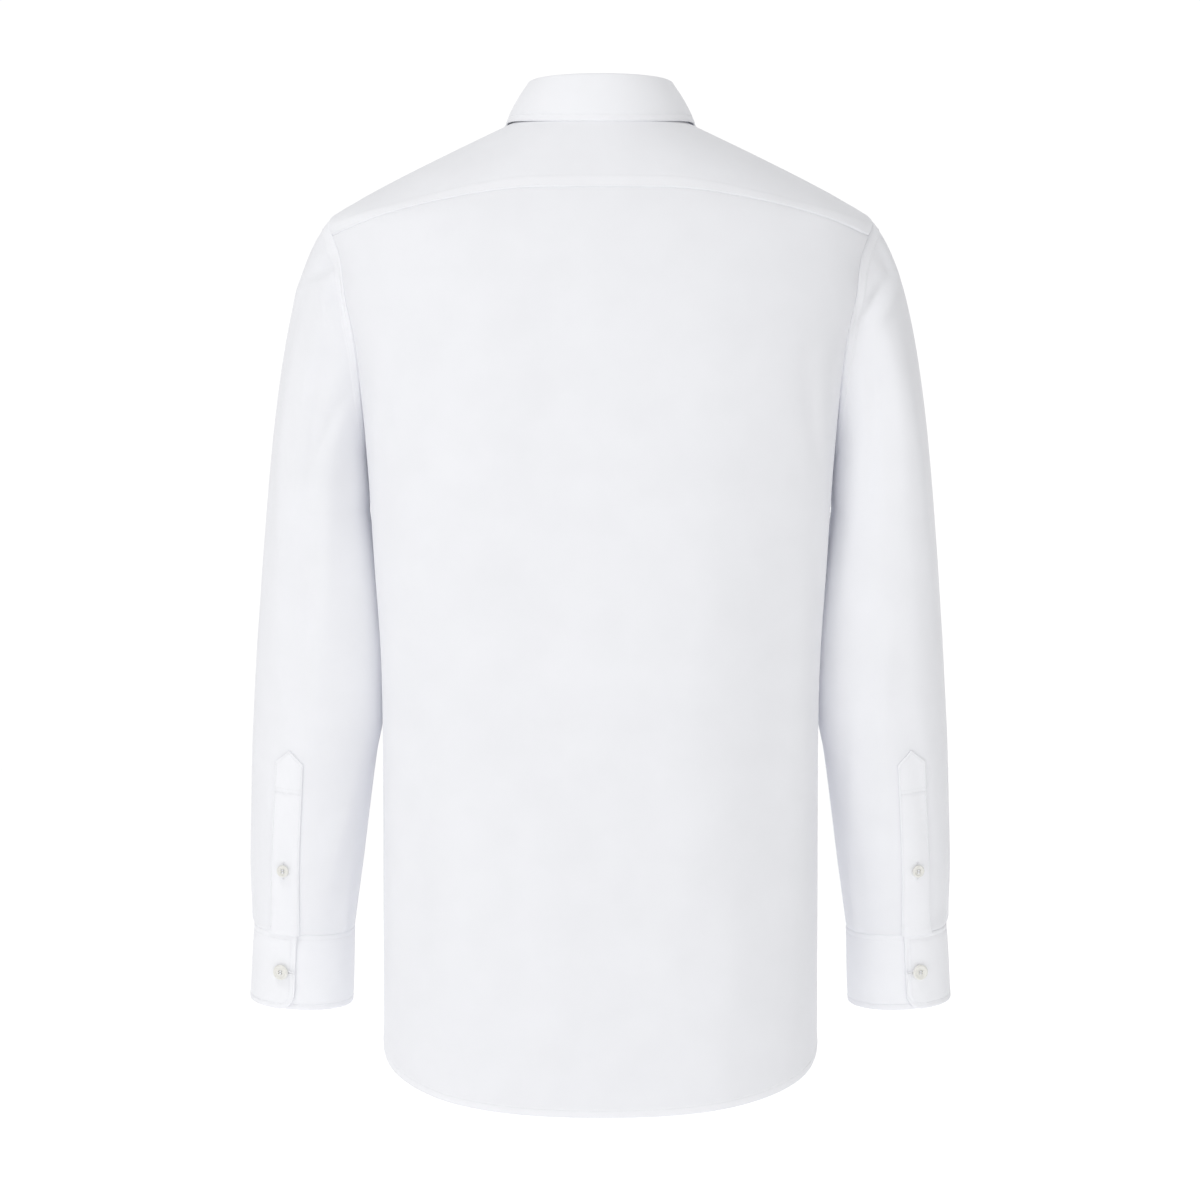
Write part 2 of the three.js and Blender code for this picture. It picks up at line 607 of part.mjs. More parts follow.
function cuffPoint(turn, down, out) {
  const share = down / CUFF_HEIGHT;
  const start = shift(WRIST.centre, WRIST.axis, SEAM);
  const section = { ...WRIST, centre: start.lerp(CUFF_END_SECTION.centre, share) };
  const half = mix(ARM.at(-1).half, CUFF_BOTTOM.half, share) + CUFF_STAND_OUT;
  const deep = mix(ARM.at(-1).deep, CUFF_BOTTOM.deep, share) + CUFF_STAND_OUT;
  const lap = CUFF_LAP * smooth(turn, -10, CUFF_UNDER_END - 6);
  return ovalPoint(section, half, deep, turn, out + lap);
}

function makeCuff(name, side) {
  const cornerTurn = CUFF_CORNER / radians(CUFF_BOTTOM.half);
  const first = CUFF_UNDER_END - 360;
  const turns = [
    ...shares(26).map((t) => mix(first, CUFF_TOP_END - cornerTurn, t)),
    ...shares(4).slice(1).map((t) => mix(CUFF_TOP_END - cornerTurn, CUFF_TOP_END, Math.sin((t * Math.PI) / 2))),
  ];
  const lowest = (turn) => {
    const past = Math.max(0, 1 - (CUFF_TOP_END - turn) / cornerTurn);
    return CUFF_HEIGHT - CUFF_CORNER * (1 - Math.sqrt(1 - past * past));
  };
  const layer = (out) => shares(2).map((t) => turns.map((turn) => cuffPoint(turn, t * lowest(turn), out)));
  addPiece(name, bodyBetween(gridOnSide(side, layer(0)), gridOnSide(side, layer(-FIRM_CLOTH))));
}

// Collar stand and fall, by angle round the neck. Their points lie closer together towards the front.
const towardsEnds = (steps) => shares(steps).map((t) => {
  const place = 2 * t - 1;
  return Math.sign(place) * (1 - (1 - Math.abs(place)) ** 1.3);
});

function foldPoint(angle) {
  const base = trunkPoint(neckline(angle));
  const t = radians(angle);
  const lean = Math.cos(t) > 0 ? STAND_LEAN_BACK : STAND_LEAN_FRONT;
  const level = mix(STAND_HEIGHT, STAND_FRONT_HEIGHT, smooth(Math.abs(angle), 90, 180));
  const narrow = mix(STAND_LEAN_SIDE, lean, Math.cos(t) ** 2);
  return new THREE.Vector3(
    base.x * narrow,
    NECK_AXIS_Y + (base.y - NECK_AXIS_Y) * mix(1, lean, Math.abs(Math.cos(t))),
    base.z + STAND_LIFT + level,
  );
}

function outFromNeck(angle) {
  const along = foldPoint(angle + 1).sub(foldPoint(angle - 1));
  return new THREE.Vector3(along.y, -along.x, 0).normalize().negate();
}

function makeStand() {
  const reach = 180 + STAND_LAP;
  const angles = towardsEnds(STAND_STEPS).map((t) => t * reach);
  const layer = (depth) => shares(2).map((t) => angles.map((angle) => {
    const tuck = (FIRM_CLOTH + 2 * SEAM) * smooth(-angle, 158, 172);
    const around = Math.abs(angle) > 180 ? angle - Math.sign(angle) * 360 : angle;
    const base = trunkPoint(neckline(around));
    base.z += STAND_LIFT + tuck / 2;
    return base.lerp(foldPoint(around), t).addScaledVector(outFromNeck(around), -tuck - depth);
  }));
  addPiece('collar_stand', bodyBetween(layer(0), layer(FIRM_CLOTH)));
}

function fallEdge(share) {
  const angle = share * FALL_TIP_ANGLE;
  const turn = Math.abs(angle);
  const past = Math.max(0, turn - 90) / (FALL_TIP_ANGLE - 90);
  const upper = mix(FALL_BACK_Z, FALL_SIDE_Z, Math.sin(radians(Math.min(turn, 90))) ** 2);
  const place = { angle, z: upper - (FALL_SIDE_Z - FALL_TIP_Z) * past ** 2.2 };
  const clear = mix(FALL_CLEAR_BACK, FALL_CLEAR, smooth(turn, 0, 90));
  return shift(trunkPoint(place), trunkNormal(place), clear);
}

function makeFall() {
  const lines = towardsEnds(FALL_STEPS).map((share) => {
    const angle = share * FALL_FOLD_ANGLE;
    const out = outFromNeck(angle);
    const steep = mix(1, 1.5, smooth(Math.abs(angle), 95, 130));
    const fold = FALL_BEND.map((step) => {
      const point = shift(foldPoint(angle), out, step.out);
      return point.setZ(point.z + step.up * (step.up > 0 ? steep : 1));
    });
    const edge = fallEdge(share);
    const bulge = shares(4).slice(1).map((t) => shift(fold.at(-1).clone().lerp(edge, t), out, 6 * t * (1 - t)));
    return [...fold, ...bulge];
  });
  const rows = lines[0].length;
  const outer = Array.from({ length: rows }, (unused, j) => lines.map((line) => line[j]));
  const inner = outer.map((row, j) => row.map((point, i) => {
    const down = outer[Math.min(j + 1, rows - 1)][i].clone().sub(outer[Math.max(j - 1, 0)][i]);
    const round = outer[j][Math.min(i + 1, row.length - 1)].clone().sub(outer[j][Math.max(i - 1, 0)]);
    const normal = round.cross(down).normalize();
    if (j === 0) normal.set(0, 0, 1);
    return shift(point, normal, -FIRM_CLOTH);
  }));
  addPiece('collar_fall', bodyBetween(outer, inner));
}

// Placket on the fronts, from the neck seam to the hem
function placketPoint(x, z, out) {
  const place = { angle: frontAngleAtX(x, z), z };
  return shift(trunkPoint(place), trunkNormal(place), out);
}

function makePlacket() {
  const across = [-1, -0.4, 0.4, 1].map((t) => (t * PLACKET_WIDTH) / 2);
  const layer = (out) => PANEL_ROWS.map((v) => across.map((x) => {
    const top = neckline(neckAngleAtX(x)).z - SEAM;
    return placketPoint(x, mix(FRONT_TAIL_Z, top, v), out);
  }));
  addPiece('front_placket', bodyBetween(layer(PLACKET_LIFT + STRIP_CLOTH), layer(PLACKET_LIFT)));
}

// Buttons: a disc with a raised rim, standing on the cloth
function addButton(name, diameter, point, normal) {
  const radius = diameter / 2;
  const profile = [
    [0, 0], [radius - 0.5, 0], [radius, 0.6], [radius, BUTTON_HEIGHT - 0.6], [radius - 0.6, BUTTON_HEIGHT],
    [radius - 1.5, BUTTON_HEIGHT], [radius - 2.2, BUTTON_HEIGHT - 0.7], [0, BUTTON_HEIGHT - 0.7],
  ].map(([x, y]) => new THREE.Vector2(x, y));
  const button = addPiece(name, new THREE.LatheGeometry(profile, BUTTON_SIDES), BUTTON_FINISH);
  button.position.copy(shift(point, normal, SEAM));
  button.quaternion.setFromUnitVectors(new THREE.Vector3(0, 1, 0), normal);
}

function addButtons() {
  for (let i = 0; i < FRONT_BUTTONS; i += 1) {
    const z = FIRST_BUTTON_Z - i * BUTTON_PITCH;
    const normal = trunkNormal({ angle: 180, z });
    addButton(`button_front_${i + 1}`, FRONT_BUTTON, placketPoint(0, z, PLACKET_LIFT + STRIP_CLOTH), normal);
  }
  const collarLow = trunkPoint(neckline(180));
  const collarHigh = foldPoint(180);
  const collarMiddle = collarLow.clone().lerp(collarHigh, 0.5).add(new THREE.Vector3(0, 0, STAND_LIFT / 2));
  const rise = collarHigh.sub(collarLow).normalize();
  const forward = new THREE.Vector3(1, 0, 0).cross(rise).normalize();
  addButton('button_collar', FRONT_BUTTON, shift(collarMiddle, forward, SEAM), forward);
  for (const [word, side] of [['left', 1], ['right', -1]]) {
    const { turn, z } = gauntletSpot(GAUNTLET_BUTTON_UP, 0);
    const outOf = (pointAt) => {
      const round = pointAt(turn + 4, 0).sub(pointAt(turn - 4, 0));
      const down = pointAt(turn, 4).sub(pointAt(turn, -4));
      return { centre: pointAt(turn, 0), normal: down.cross(round).normalize() };
    };
    const small = outOf((angle, down) => armPoint(side, angle, z - down, SEAM + STRIP_CLOTH + BUTTON_SHANK));
    const large = outOf((angle, down) => cuffPoint(angle, CUFF_HEIGHT / 2 + down, BUTTON_SHANK));
    const place = ({ centre, normal }) => [onSide(side, centre), onSide(side, normal)];
    addButton(`button_gauntlet_${word}`, GAUNTLET_BUTTON, ...place(small));
    addButton(`button_cuff_${word}`, CUFF_BUTTON, ...place(large));
  }
}

for (const [word, side] of [['left', 1], ['right', -1]]) {
  makeSleeve(`sleeve_${word}`, side);
  makeGauntlet(`gauntlet_${word}`, side);
  makeCuff(`cuff_${word}`, side);
}
makeStand();
makeFall();
makePlacket();
addButtons();

export default shirt;
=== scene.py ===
"""Long sleeve dress shirt, seen from behind: cloth shells, seams, stitching and buttons around the CAD frame.

Metres. Up is +Z, the back of the shirt faces +Y and the wearer's left is +X.
The origin is the middle of the neck opening. Angles go round the body in degrees from the middle of the back.
"""

import math

import bmesh
import bpy
import numpy as np
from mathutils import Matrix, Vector


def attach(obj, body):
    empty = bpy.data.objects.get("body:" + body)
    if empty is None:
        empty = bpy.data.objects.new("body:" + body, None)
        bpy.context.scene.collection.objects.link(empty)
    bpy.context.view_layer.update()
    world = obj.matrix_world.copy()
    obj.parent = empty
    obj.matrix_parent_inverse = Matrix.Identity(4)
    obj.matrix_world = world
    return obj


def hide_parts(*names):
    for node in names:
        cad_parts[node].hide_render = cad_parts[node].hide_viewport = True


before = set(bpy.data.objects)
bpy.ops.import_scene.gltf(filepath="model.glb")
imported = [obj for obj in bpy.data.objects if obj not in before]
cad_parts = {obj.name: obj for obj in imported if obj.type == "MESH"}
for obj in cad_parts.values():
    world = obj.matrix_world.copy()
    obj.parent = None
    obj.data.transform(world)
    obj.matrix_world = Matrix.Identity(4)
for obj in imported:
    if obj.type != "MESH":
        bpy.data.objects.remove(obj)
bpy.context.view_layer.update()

# Camera, level with the middle of the shirt and straight behind it
CAMERA_PLACE = (0.0004, 3.0, -0.3862)
SENSOR = 36.0
VIEW_WIDTH = 0.984

camera_data = bpy.data.cameras.new("camera")
camera_data.sensor_width = SENSOR
camera_data.lens = SENSOR * CAMERA_PLACE[1] / VIEW_WIDTH
camera = bpy.data.objects.new("camera", camera_data)
camera.location = CAMERA_PLACE
camera.rotation_euler = (math.radians(90), 0, math.radians(180))
bpy.context.scene.collection.objects.link(camera)
bpy.context.scene.camera = camera


def table(names, rows):
    """A short table as one array for each named column."""
    return dict(zip(names.split(), np.array(rows, float).T))


SIDES = (("left", 1), ("right", -1))

# Cloth and the space between pieces
CLOTH = 0.0009
FIRM_CLOTH = 0.0018
COLLAR_CLOTH = 0.0014
STRIP_CLOTH = 0.0015
SEAM = 0.0003

# Trunk, section by section from the neck down. half: half of the width. back and front: y on the centre line.
# widest: y where the section is widest. square: 2 is an ellipse, more is squarer.
TRUNK = table("z half back front widest square", [
    (0.008, 0.064, 0.061, -0.054, -0.003, 2),
    (0.0, 0.0805, 0.068, -0.058, -0.003, 2),
    (-0.015, 0.112, 0.0775, -0.064, -0.003, 2),
    (-0.03, 0.1425, 0.0855, -0.07, -0.003, 2.03),
    (-0.045, 0.172, 0.0925, -0.076, -0.003, 2.06),
    (-0.06, 0.199, 0.0985, -0.083, -0.002, 2.1),
    (-0.075, 0.2215, 0.104, -0.089, -0.002, 2.14),
    (-0.09, 0.223, 0.108, -0.095, -0.001, 2.2),
    (-0.108, 0.22, 0.112, -0.101, 0, 2.25),
    (-0.141, 0.217, 0.117, -0.109, 0.004, 2.3),
    (-0.18, 0.204, 0.1195, -0.116, 0.016, 2.35),
    (-0.215, 0.196, 0.1195, -0.12, 0.024, 2.35),
    (-0.268, 0.191, 0.118, -0.123, 0.023, 2.35),
    (-0.35, 0.186, 0.1135, -0.122, 0.015, 2.35),
    (-0.42, 0.181, 0.1105, -0.119, 0.012, 2.35),
    (-0.47, 0.179, 0.1095, -0.117, 0.01, 2.35),
    (-0.55, 0.1778, 0.111, -0.116, 0.007, 2.35),
    (-0.65, 0.1774, 0.1145, -0.117, 0.004, 2.35),
    (-0.8, 0.177, 0.118, -0.119, 0.002, 2.35),
])

# Waves and folds of the trunk's cloth. turn: place round the body. z: height of the middle. spread: half
# width as an angle. reach: half length. rise: out of the body. slant: degrees round it for each metre up.
TRUNK_WAVES = table("turn z spread reach rise slant", [
    (27, -0.39, 13, 0.24, 0.0024, 0),
    (9, -0.43, 9, 0.26, -0.0022, 0),
    (-13, -0.52, 11, 0.21, 0.0018, 0),
    (-44, -0.38, 12, 0.19, -0.0018, 0),
    (-66, -0.56, 9, 0.2, 0.0016, 0),
    (58, -0.6, 10, 0.19, -0.0016, 0),
    (150, -0.43, 12, 0.21, -0.002, 0),
    (-138, -0.52, 13, 0.2, -0.0022, 0),
    (128, -0.61, 10, 0.17, 0.0018, 0),
])
TRUNK_FOLDS = table("turn z spread reach rise slant", [
    (62, -0.235, 5, 0.06, -0.0016, -150),
    (70, -0.29, 6, 0.08, 0.0018, -90),
    (-60, -0.24, 5, 0.06, -0.0014, 140),
    (-71, -0.31, 6, 0.09, 0.0018, 80),
    (17, -0.66, 5, 0.11, -0.0013, 20),
    (-31, -0.69, 6, 0.1, 0.0014, -25),
    (42, -0.71, 5, 0.09, 0.0013, 30),
    (4, -0.2, 7, 0.09, -0.0009, 10),
    (-24, -0.17, 6, 0.07, 0.0008, -30),
    (35, -0.16, 6, 0.06, 0.0008, 40),
    (105, -0.37, 15, 0.13, -0.0095, 0),
    (-105, -0.38, 15, 0.13, -0.009, 0),
    (136, -0.2, 7, 0.07, -0.0014, 120),
    (-140, -0.22, 7, 0.07, -0.0014, -110),
    (158, -0.64, 6, 0.1, 0.0014, -20),
    (-160, -0.35, 6, 0.1, 0.0012, 25),
    (40, -0.4, 9, 0.2, 0.0016, 8),
    (17, -0.42, 8, 0.22, -0.0016, -6),
    (-24, -0.44, 9, 0.22, 0.0018, 10),
    (-50, -0.5, 9, 0.18, -0.0018, -12),
    (52, -0.62, 8, 0.12, -0.0015, 25),
    (-6, -0.62, 8, 0.14, -0.0013, -14),
])

# Seams on the trunk
NECK_BACK_Z = 0.007
NECK_FRONT_Z = -0.062
YOKE_CENTRE_Z = -0.058
YOKE_LEVEL_ANGLE = 14
YOKE_NECK_ANGLE = 118
YOKE_RIDGE_ANGLE = 72
YOKE_ARMHOLE_TURN = 32
SIDE_SEAM_Y = -0.008
BACK_TAIL_Z = -0.7945
FRONT_TAIL_Z = -0.775
SIDE_HEM_Z = -0.7425
PANEL_LATE = 4
NECKLINE_SHARE = 0.45

# Armhole, an egg shape seen from the side
ARMHOLE_TOP_Z = -0.075
ARMHOLE_BOTTOM_Z = -0.268
ARMHOLE_TOP_Y = -0.002
ARMHOLE_BOTTOM_Y = -0.008
ARMHOLE_BACK = 0.053
ARMHOLE_FRONT = 0.058

# Left arm tube, from just below the armhole to the cuff. x and y: its centre line.
ARM = table("z x y half deep", [
    (-0.312, 0.2325, -0.01, 0.0415, 0.067),
    (-0.35, 0.2325, -0.012, 0.0445, 0.064),
    (-0.387, 0.2325, -0.014, 0.047, 0.061),
    (-0.42, 0.2325, -0.017, 0.0494, 0.058),
    (-0.47, 0.233, -0.02, 0.0516, 0.055),
    (-0.502, 0.236, -0.023, 0.0504, 0.052),
    (-0.551, 0.2395, -0.03, 0.0486, 0.0495),
    (-0.6, 0.2428, -0.037, 0.0461, 0.047),
    (-0.633, 0.2445, -0.042, 0.0432, 0.043),
    (-0.656, 0.2458, -0.046, 0.0412, 0.038),
])
ARM_TOP = -0.312
ARM_END = -0.656

# Folds of the sleeves. turn: place round the arm, 0 is its outer side and 90 its back.
# side: 1 left, -1 right. slant: degrees round the arm for each metre up.
SLEEVE_FOLDS = table("side turn z spread reach rise slant", [
    (1, 70, -0.128, 13, 0.022, -0.0032, 0),
    (1, 128, -0.33, 18, 0.09, -0.0026, 0),
    (1, 20, -0.47, 15, 0.12, 0.0018, 0),
    (1, 300, -0.44, 16, 0.06, -0.003, 0),
    (-1, 84, -0.15, 12, 0.03, -0.003, 0),
    (-1, 60, -0.215, 14, 0.06, 0.0022, 0),
    (-1, 118, -0.36, 18, 0.1, -0.0024, 0),
    (-1, 290, -0.46, 16, 0.06, -0.003, 0),
    (1, 100, -0.245, 9, 0.045, -0.002, 300),
    (1, 45, -0.3, 10, 0.09, 0.0014, -60),
    (1, 95, -0.43, 11, 0.07, 0.0016, 120),
    (1, 60, -0.52, 10, 0.06, -0.0014, -150),
    (1, 130, -0.56, 11, 0.05, 0.0016, 200),
    (1, 340, -0.55, 12, 0.07, 0.0014, 80),
    (1, 250, -0.35, 13, 0.09, 0.0022, 60),
    (-1, 100, -0.25, 9, 0.05, -0.002, -280),
    (-1, 42, -0.32, 10, 0.09, 0.0014, 70),
    (-1, 92, -0.45, 11, 0.07, 0.0016, -110),
    (-1, 62, -0.54, 10, 0.06, -0.0016, 130),
    (-1, 126, -0.52, 11, 0.06, 0.0016, -180),
    (-1, 335, -0.5, 12, 0.07, 0.0014, -90),
    (-1, 245, -0.38, 13, 0.09, 0.0022, -70),
    (1, 152, -0.405, 24, 0.105, 0.0085, 0),
    (-1, 152, -0.41, 24, 0.105, 0.008, 0),
    (1, 86, -0.36, 26, 0.13, -0.007, 0),
    (-1, 86, -0.36, 26, 0.13, -0.0065, 0),
    (1, 178, -0.42, 20, 0.09, 0.0025, 0),
    (-1, 178, -0.42, 20, 0.09, 0.0025, 0),
    (1, 108, -0.19, 8, 0.04, -0.0016, -220),
    (1, 60, -0.17, 11, 0.05, 0.0012, -120),
    (-1, 100, -0.2, 9, 0.04, -0.0018, -420),
])

# Folds by the armholes: a dimple and a crease down the left sleeve head, soft slanting folds on the right one
HEAD_FOLDS = table("side turn z spread reach rise slant", [
    (1, 41, -0.117, 8, 0.007, -0.006, 0),
    (1, 73, -0.145, 4.5, 0.025, -0.0034, -743),
    (1, 61, -0.147, 6, 0.025, 0.003, -743),
    (1, 22, -0.134, 9, 0.014, 0.002, 0),
    (-1, 62, -0.146, 6, 0.019, -0.0036, -1136),
    (-1, 49, -0.148, 7, 0.02, 0.0025, -1136),
    (-1, 30, -0.112, 10, 0.012, -0.0022, 0),
])

# Curve of the sleeve head, out from the armhole and down into the arm tube
CAP_OUT_TOP = 0.67
CAP_OUT_BOTTOM = 0.35
CAP_TURN_IN = 0.4
CAP_START = {"middle": 0.062, "change": 0.038}
CAP_END = {"least": 0.06, "most": 0.42, "power": 1.5}

# Small pleats that gather the sleeve into its cuff. turn: place of the pressed edge. width: as an angle.
PLEATS = table("side turn width reach rise", [
    (1, 14, 17, 0.075, 0.0024),
    (1, 146, 19, 0.065, 0.0022),
    (-1, 14, 17, 0.07, 0.0024),
    (-1, 148, 19, 0.06, 0.0022),
])

# Cuffs, gauntlets and where their ends lap over
CUFF_HEIGHT = 0.062
CUFF_BOTTOM = {"x": 0.2492, "y": -0.057, "half": 0.0424, "deep": 0.0384}
CUFF_CORNER = 0.013
CUFF_TOP_END = 85
CUFF_UNDER_END = 52
CUFF_LAP = FIRM_CLOTH + 0.0006
CUFF_STAND_OUT = 0.0005
CUFF_COVER = 0.0008
CUFF_MEET = 0.009
TUCK_IN = 0.005
GAUNTLET_WIDTH = 0.025
GAUNTLET_LENGTH = 0.152
GAUNTLET_POINT = 0.01
GAUNTLET_TURN = 70
GAUNTLET_BUTTON_UP = 0.054
GAUNTLET_BAR_UP = 0.118
GAUNTLET_BAR_HEIGHT = 0.0035

# Collar: a stand round the neck and a fall turned down over it
NECK_AXIS_Y = -0.008
STAND_HEIGHT = 0.0267
STAND_FRONT_HEIGHT = 0.026
STAND_LEAN_SIDE = 0.865
STAND_LEAN_BACK = 0.9
STAND_LEAN_FRONT = 0.95
STAND_LIFT = 0.0018
STAND_LAP = 3.8
FALL_BACK_Z = -0.003
FALL_SIDE_Z = 0.0018
FALL_TIP_Z = -0.092
FALL_TIP_ANGLE = 168
FALL_FOLD_ANGLE = 177.3
FALL_CLEAR_BACK = 0.0012
FALL_CLEAR = 0.0024
FALL_BEND = ((-0.001, 0.0026), (0.0022, 0.002), (0.0041, -0.0008))

# Front placket and buttons
PLACKET_WIDTH = 0.035
PLACKET_LIFT = 0.0005
UNDERLAP = 0.014
FRONT_BUTTONS = 6
FIRST_BUTTON_Z = -0.13
BUTTON_PITCH = 0.092
BUTTON_HEIGHT = 0.0026
FRONT_BUTTON = 0.0114
CUFF_BUTTON = 0.0127
GAUNTLET_BUTTON = 0.0102
BUTTON_SHANK = 0.0004
BUTTON_SIDES = 48
HOLE_RADIUS = 0.0008
HOLE_PLACE = 0.0013
BUTTONHOLE = 0.0155
GAUNTLET_BUTTONHOLE = 0.0145
CUFF_BUTTONHOLE = 0.0165
# Outline of a button from its underside up: share of the radius, share of the height
BUTTON_PROFILE = (
    (0.80, 0.0), (0.93, 0.10), (1.0, 0.30), (1.0, 0.62), (0.96, 0.85), (0.88, 0.98),
    (0.80, 1.0), (0.72, 0.95), (0.64, 0.80), (0.56, 0.72), (0.40, 0.70),
)

# Sewing: the doubled cloth beside seams, how far each row of stitches is from its edge, and a stitch's size
SEAM_LIFT = 0.0004
SEAM_SINK = 0.0007
SEAM_ROLL = 0.0022
HEM_LIFT = 0.00025
HEM_DOUBLE = 0.0008
HEM_BAND = 0.0062
SEAM_BAND = 0.0095
FRONT_SEAM_BAND = 0.0065
EDGE_STITCH = 0.0014
CUFF_STITCH = 0.0045
STAND_STITCH = 0.003
COLLAR_STITCH = 0.0055
PLACKET_STITCH = 0.0055
STITCH_PITCH = 0.0024
STITCH_LENGTH = 0.0019
THREAD_RADIUS = 0.00022

# Colours of the cloth, where it is one layer thick and where seams double it, and of thread and buttons
CLOTH_COLOUR = (0.855, 0.86, 0.886, 1)
DOUBLE_COLOUR = (0.88, 0.885, 0.91, 1)
THREAD_COLOUR = (0.84, 0.845, 0.865, 1)
BUTTON_COLOUR = (0.83, 0.825, 0.785, 1)
BUTTON_DARK = (0.74, 0.73, 0.68, 1)
THREADS_PER_METRE = 1900

# Pale floor that glows a little, and the brightness of the surroundings on each side
FLOOR_Z = -0.93
FLOOR_RADIUS = 9.0
FLOOR_COLOUR = (0.86, 0.86, 0.865, 1)
FLOOR_GLOW = 0.49
WORLD_BEHIND = 1.04
WORLD_FRONT = 0.85
WORLD_SIDE = 0.42
WORLD_LEAN = 0.12

# Soft key light from the left of the picture and a weak fill in front. Place, target, size and power.
KEY_LIGHT = ((1.1, 1.75, 2.8), (0, 0, -0.3), 1.0, 34)
FRONT_FILL = ((-1.8, -2.8, 0.8), (0, 0, -0.35), 1.6, 10)


def mix(a, b, t):
    return a + (b - a) * t


def smooth(value, start, end):
    """0 below start, 1 above end, and a soft rise between."""
    t = np.clip((value - start) / (end - start), 0, 1)
    return t * t * (3 - 2 * t)


def signed_power(value, power):
    return np.sign(value) * np.abs(value) ** power


def unit(vectors):
    return vectors / np.maximum(np.linalg.norm(vectors, axis=-1, keepdims=True), 1e-12)


def vector(x, y, z):
    return np.stack(np.broadcast_arrays(x, y, z), -1)


def pair(a, b):
    """Two values as number arrays of one shape."""
    return np.broadcast_arrays(np.asarray(a, float), np.asarray(b, float))


def column(rows, name, z):
    """Value of one column of a table at height z, on a smooth curve through its rows."""
    heights, values = rows["z"], rows[name]
    z = np.asarray(z, float)
    last = len(heights) - 1
    before = np.maximum(np.arange(last + 1) - 1, 0)
    after = np.minimum(np.arange(last + 1) + 1, last)
    slopes = (values[after] - values[before]) / (heights[after] - heights[before])
    i = np.searchsorted(-heights[1:last], -z, side="left")
    span = heights[i + 1] - heights[i]
    t = np.clip((z - heights[i]) / span, 0, 1)
    bend = t * t * (3 - 2 * t)
    start = t * (1 - t) ** 2 * span * slopes[i]
    end = t * t * (t - 1) * span * slopes[i + 1]
    return values[i] * (1 - bend) + values[i + 1] * bend + start + end


def reach_at(y, z):
    """Where the trunk is widest, and its depth from there on the side of y."""
    widest = column(TRUNK, "widest", z)
    behind = column(TRUNK, "back", z) - widest
    return widest, np.where(y >= widest, behind, widest - column(TRUNK, "front", z))


def curve(start, end, start_way, end_way, t):
    """Smooth curve from start at 0 to end at 1, leaving and arriving in the directions given."""
    out = start * (2 * t ** 3 - 3 * t ** 2 + 1) + start_way * (t ** 3 - 2 * t ** 2 + t)
    return out + end * (3 * t ** 2 - 2 * t ** 3) + end_way * (t ** 3 - t ** 2)


def smooth_trunk(angle, z):
    """Points of the trunk without its waves, for angles round the body and heights."""
    angle, z = pair(angle, z)
    turn = np.radians(angle)
    power = 2 / column(TRUNK, "square", z)
    widest = column(TRUNK, "widest", z)
    behind = column(TRUNK, "back", z) - widest
    ahead = widest - column(TRUNK, "front", z)
    x = column(TRUNK, "half", z) * signed_power(np.sin(turn), power)
    y = widest + np.where(np.cos(turn) >= 0, behind, ahead) * signed_power(np.cos(turn), power)
    return np.stack([x, y, z], -1)


def place_of(points):
    """Angle and height on the trunk in the direction of points that may lie off it."""
    x, y, z = np.moveaxis(points, -1, 0)
    power = column(TRUNK, "square", z) / 2
    widest, reach = reach_at(y, z)
    across = signed_power(x / column(TRUNK, "half", z), power)
    return np.degrees(np.arctan2(across, signed_power((y - widest) / reach, power))), z


def folds_at(rows, turn, z, side=0):
    """How far a table's folds stand out, at turns and heights. side: only the rows of that side."""
    out = np.zeros(np.broadcast(turn, z).shape)
    for i in np.flatnonzero(rows["side"] == side) if side else range(len(rows["z"])):
        middle = rows["turn"][i] + rows["slant"][i] * (z - rows["z"][i])
        across = ((turn - middle + 180) % 360 - 180) / rows["spread"][i]
        up = (z - rows["z"][i]) / rows["reach"][i]
        out = out + rows["rise"][i] * np.exp(-across * across - up * up)
    return out


def trunk_point(angle, z):
    angle, z = pair(angle, z)
    below_yoke = smooth(-z, 0.07, 0.13)
    out = folds_at(TRUNK_WAVES, angle, z) + folds_at(TRUNK_FOLDS, angle, z) * below_yoke
    turn = np.radians(angle)
    outward = vector(np.sin(turn), np.cos(turn), 0)
    return smooth_trunk(angle, z) + outward * out[..., None]


def trunk_normal(angle, z):
    around, step = 0.5, 0.0005
    across = trunk_point(angle + around, z) - trunk_point(angle - around, z)
    down = trunk_point(angle, z - step) - trunk_point(angle, z + step)
    return unit(np.cross(across, down))


def angle_at_y(y, z):
    widest, reach = reach_at(y, z)
    share = (np.abs(y - widest) / reach) ** (column(TRUNK, "square", z) / 2)
    return np.degrees(np.arccos(np.where(y >= widest, share, -share)))


def front_angle_at_x(x, z):
    share = (np.abs(x) / column(TRUNK, "half", z)) ** (column(TRUNK, "square", z) / 2)
    return 180 - np.sign(x) * np.degrees(np.arcsin(share))


def armhole(turn):
    """Angle and height on the armhole: turn 0 is its top, 90 the back, 180 the underarm, -90 the front."""
    t = np.radians(turn)
    middle = (ARMHOLE_TOP_Z + ARMHOLE_BOTTOM_Z) / 2
    z = middle + (ARMHOLE_TOP_Z - ARMHOLE_BOTTOM_Z) / 2 * np.cos(t)
    axis = mix(ARMHOLE_TOP_Y, ARMHOLE_BOTTOM_Y, (1 - np.cos(t)) / 2)
    y = axis + np.where(np.sin(t) > 0, ARMHOLE_BACK, ARMHOLE_FRONT) * np.sin(t)
    return angle_at_y(y, z), z


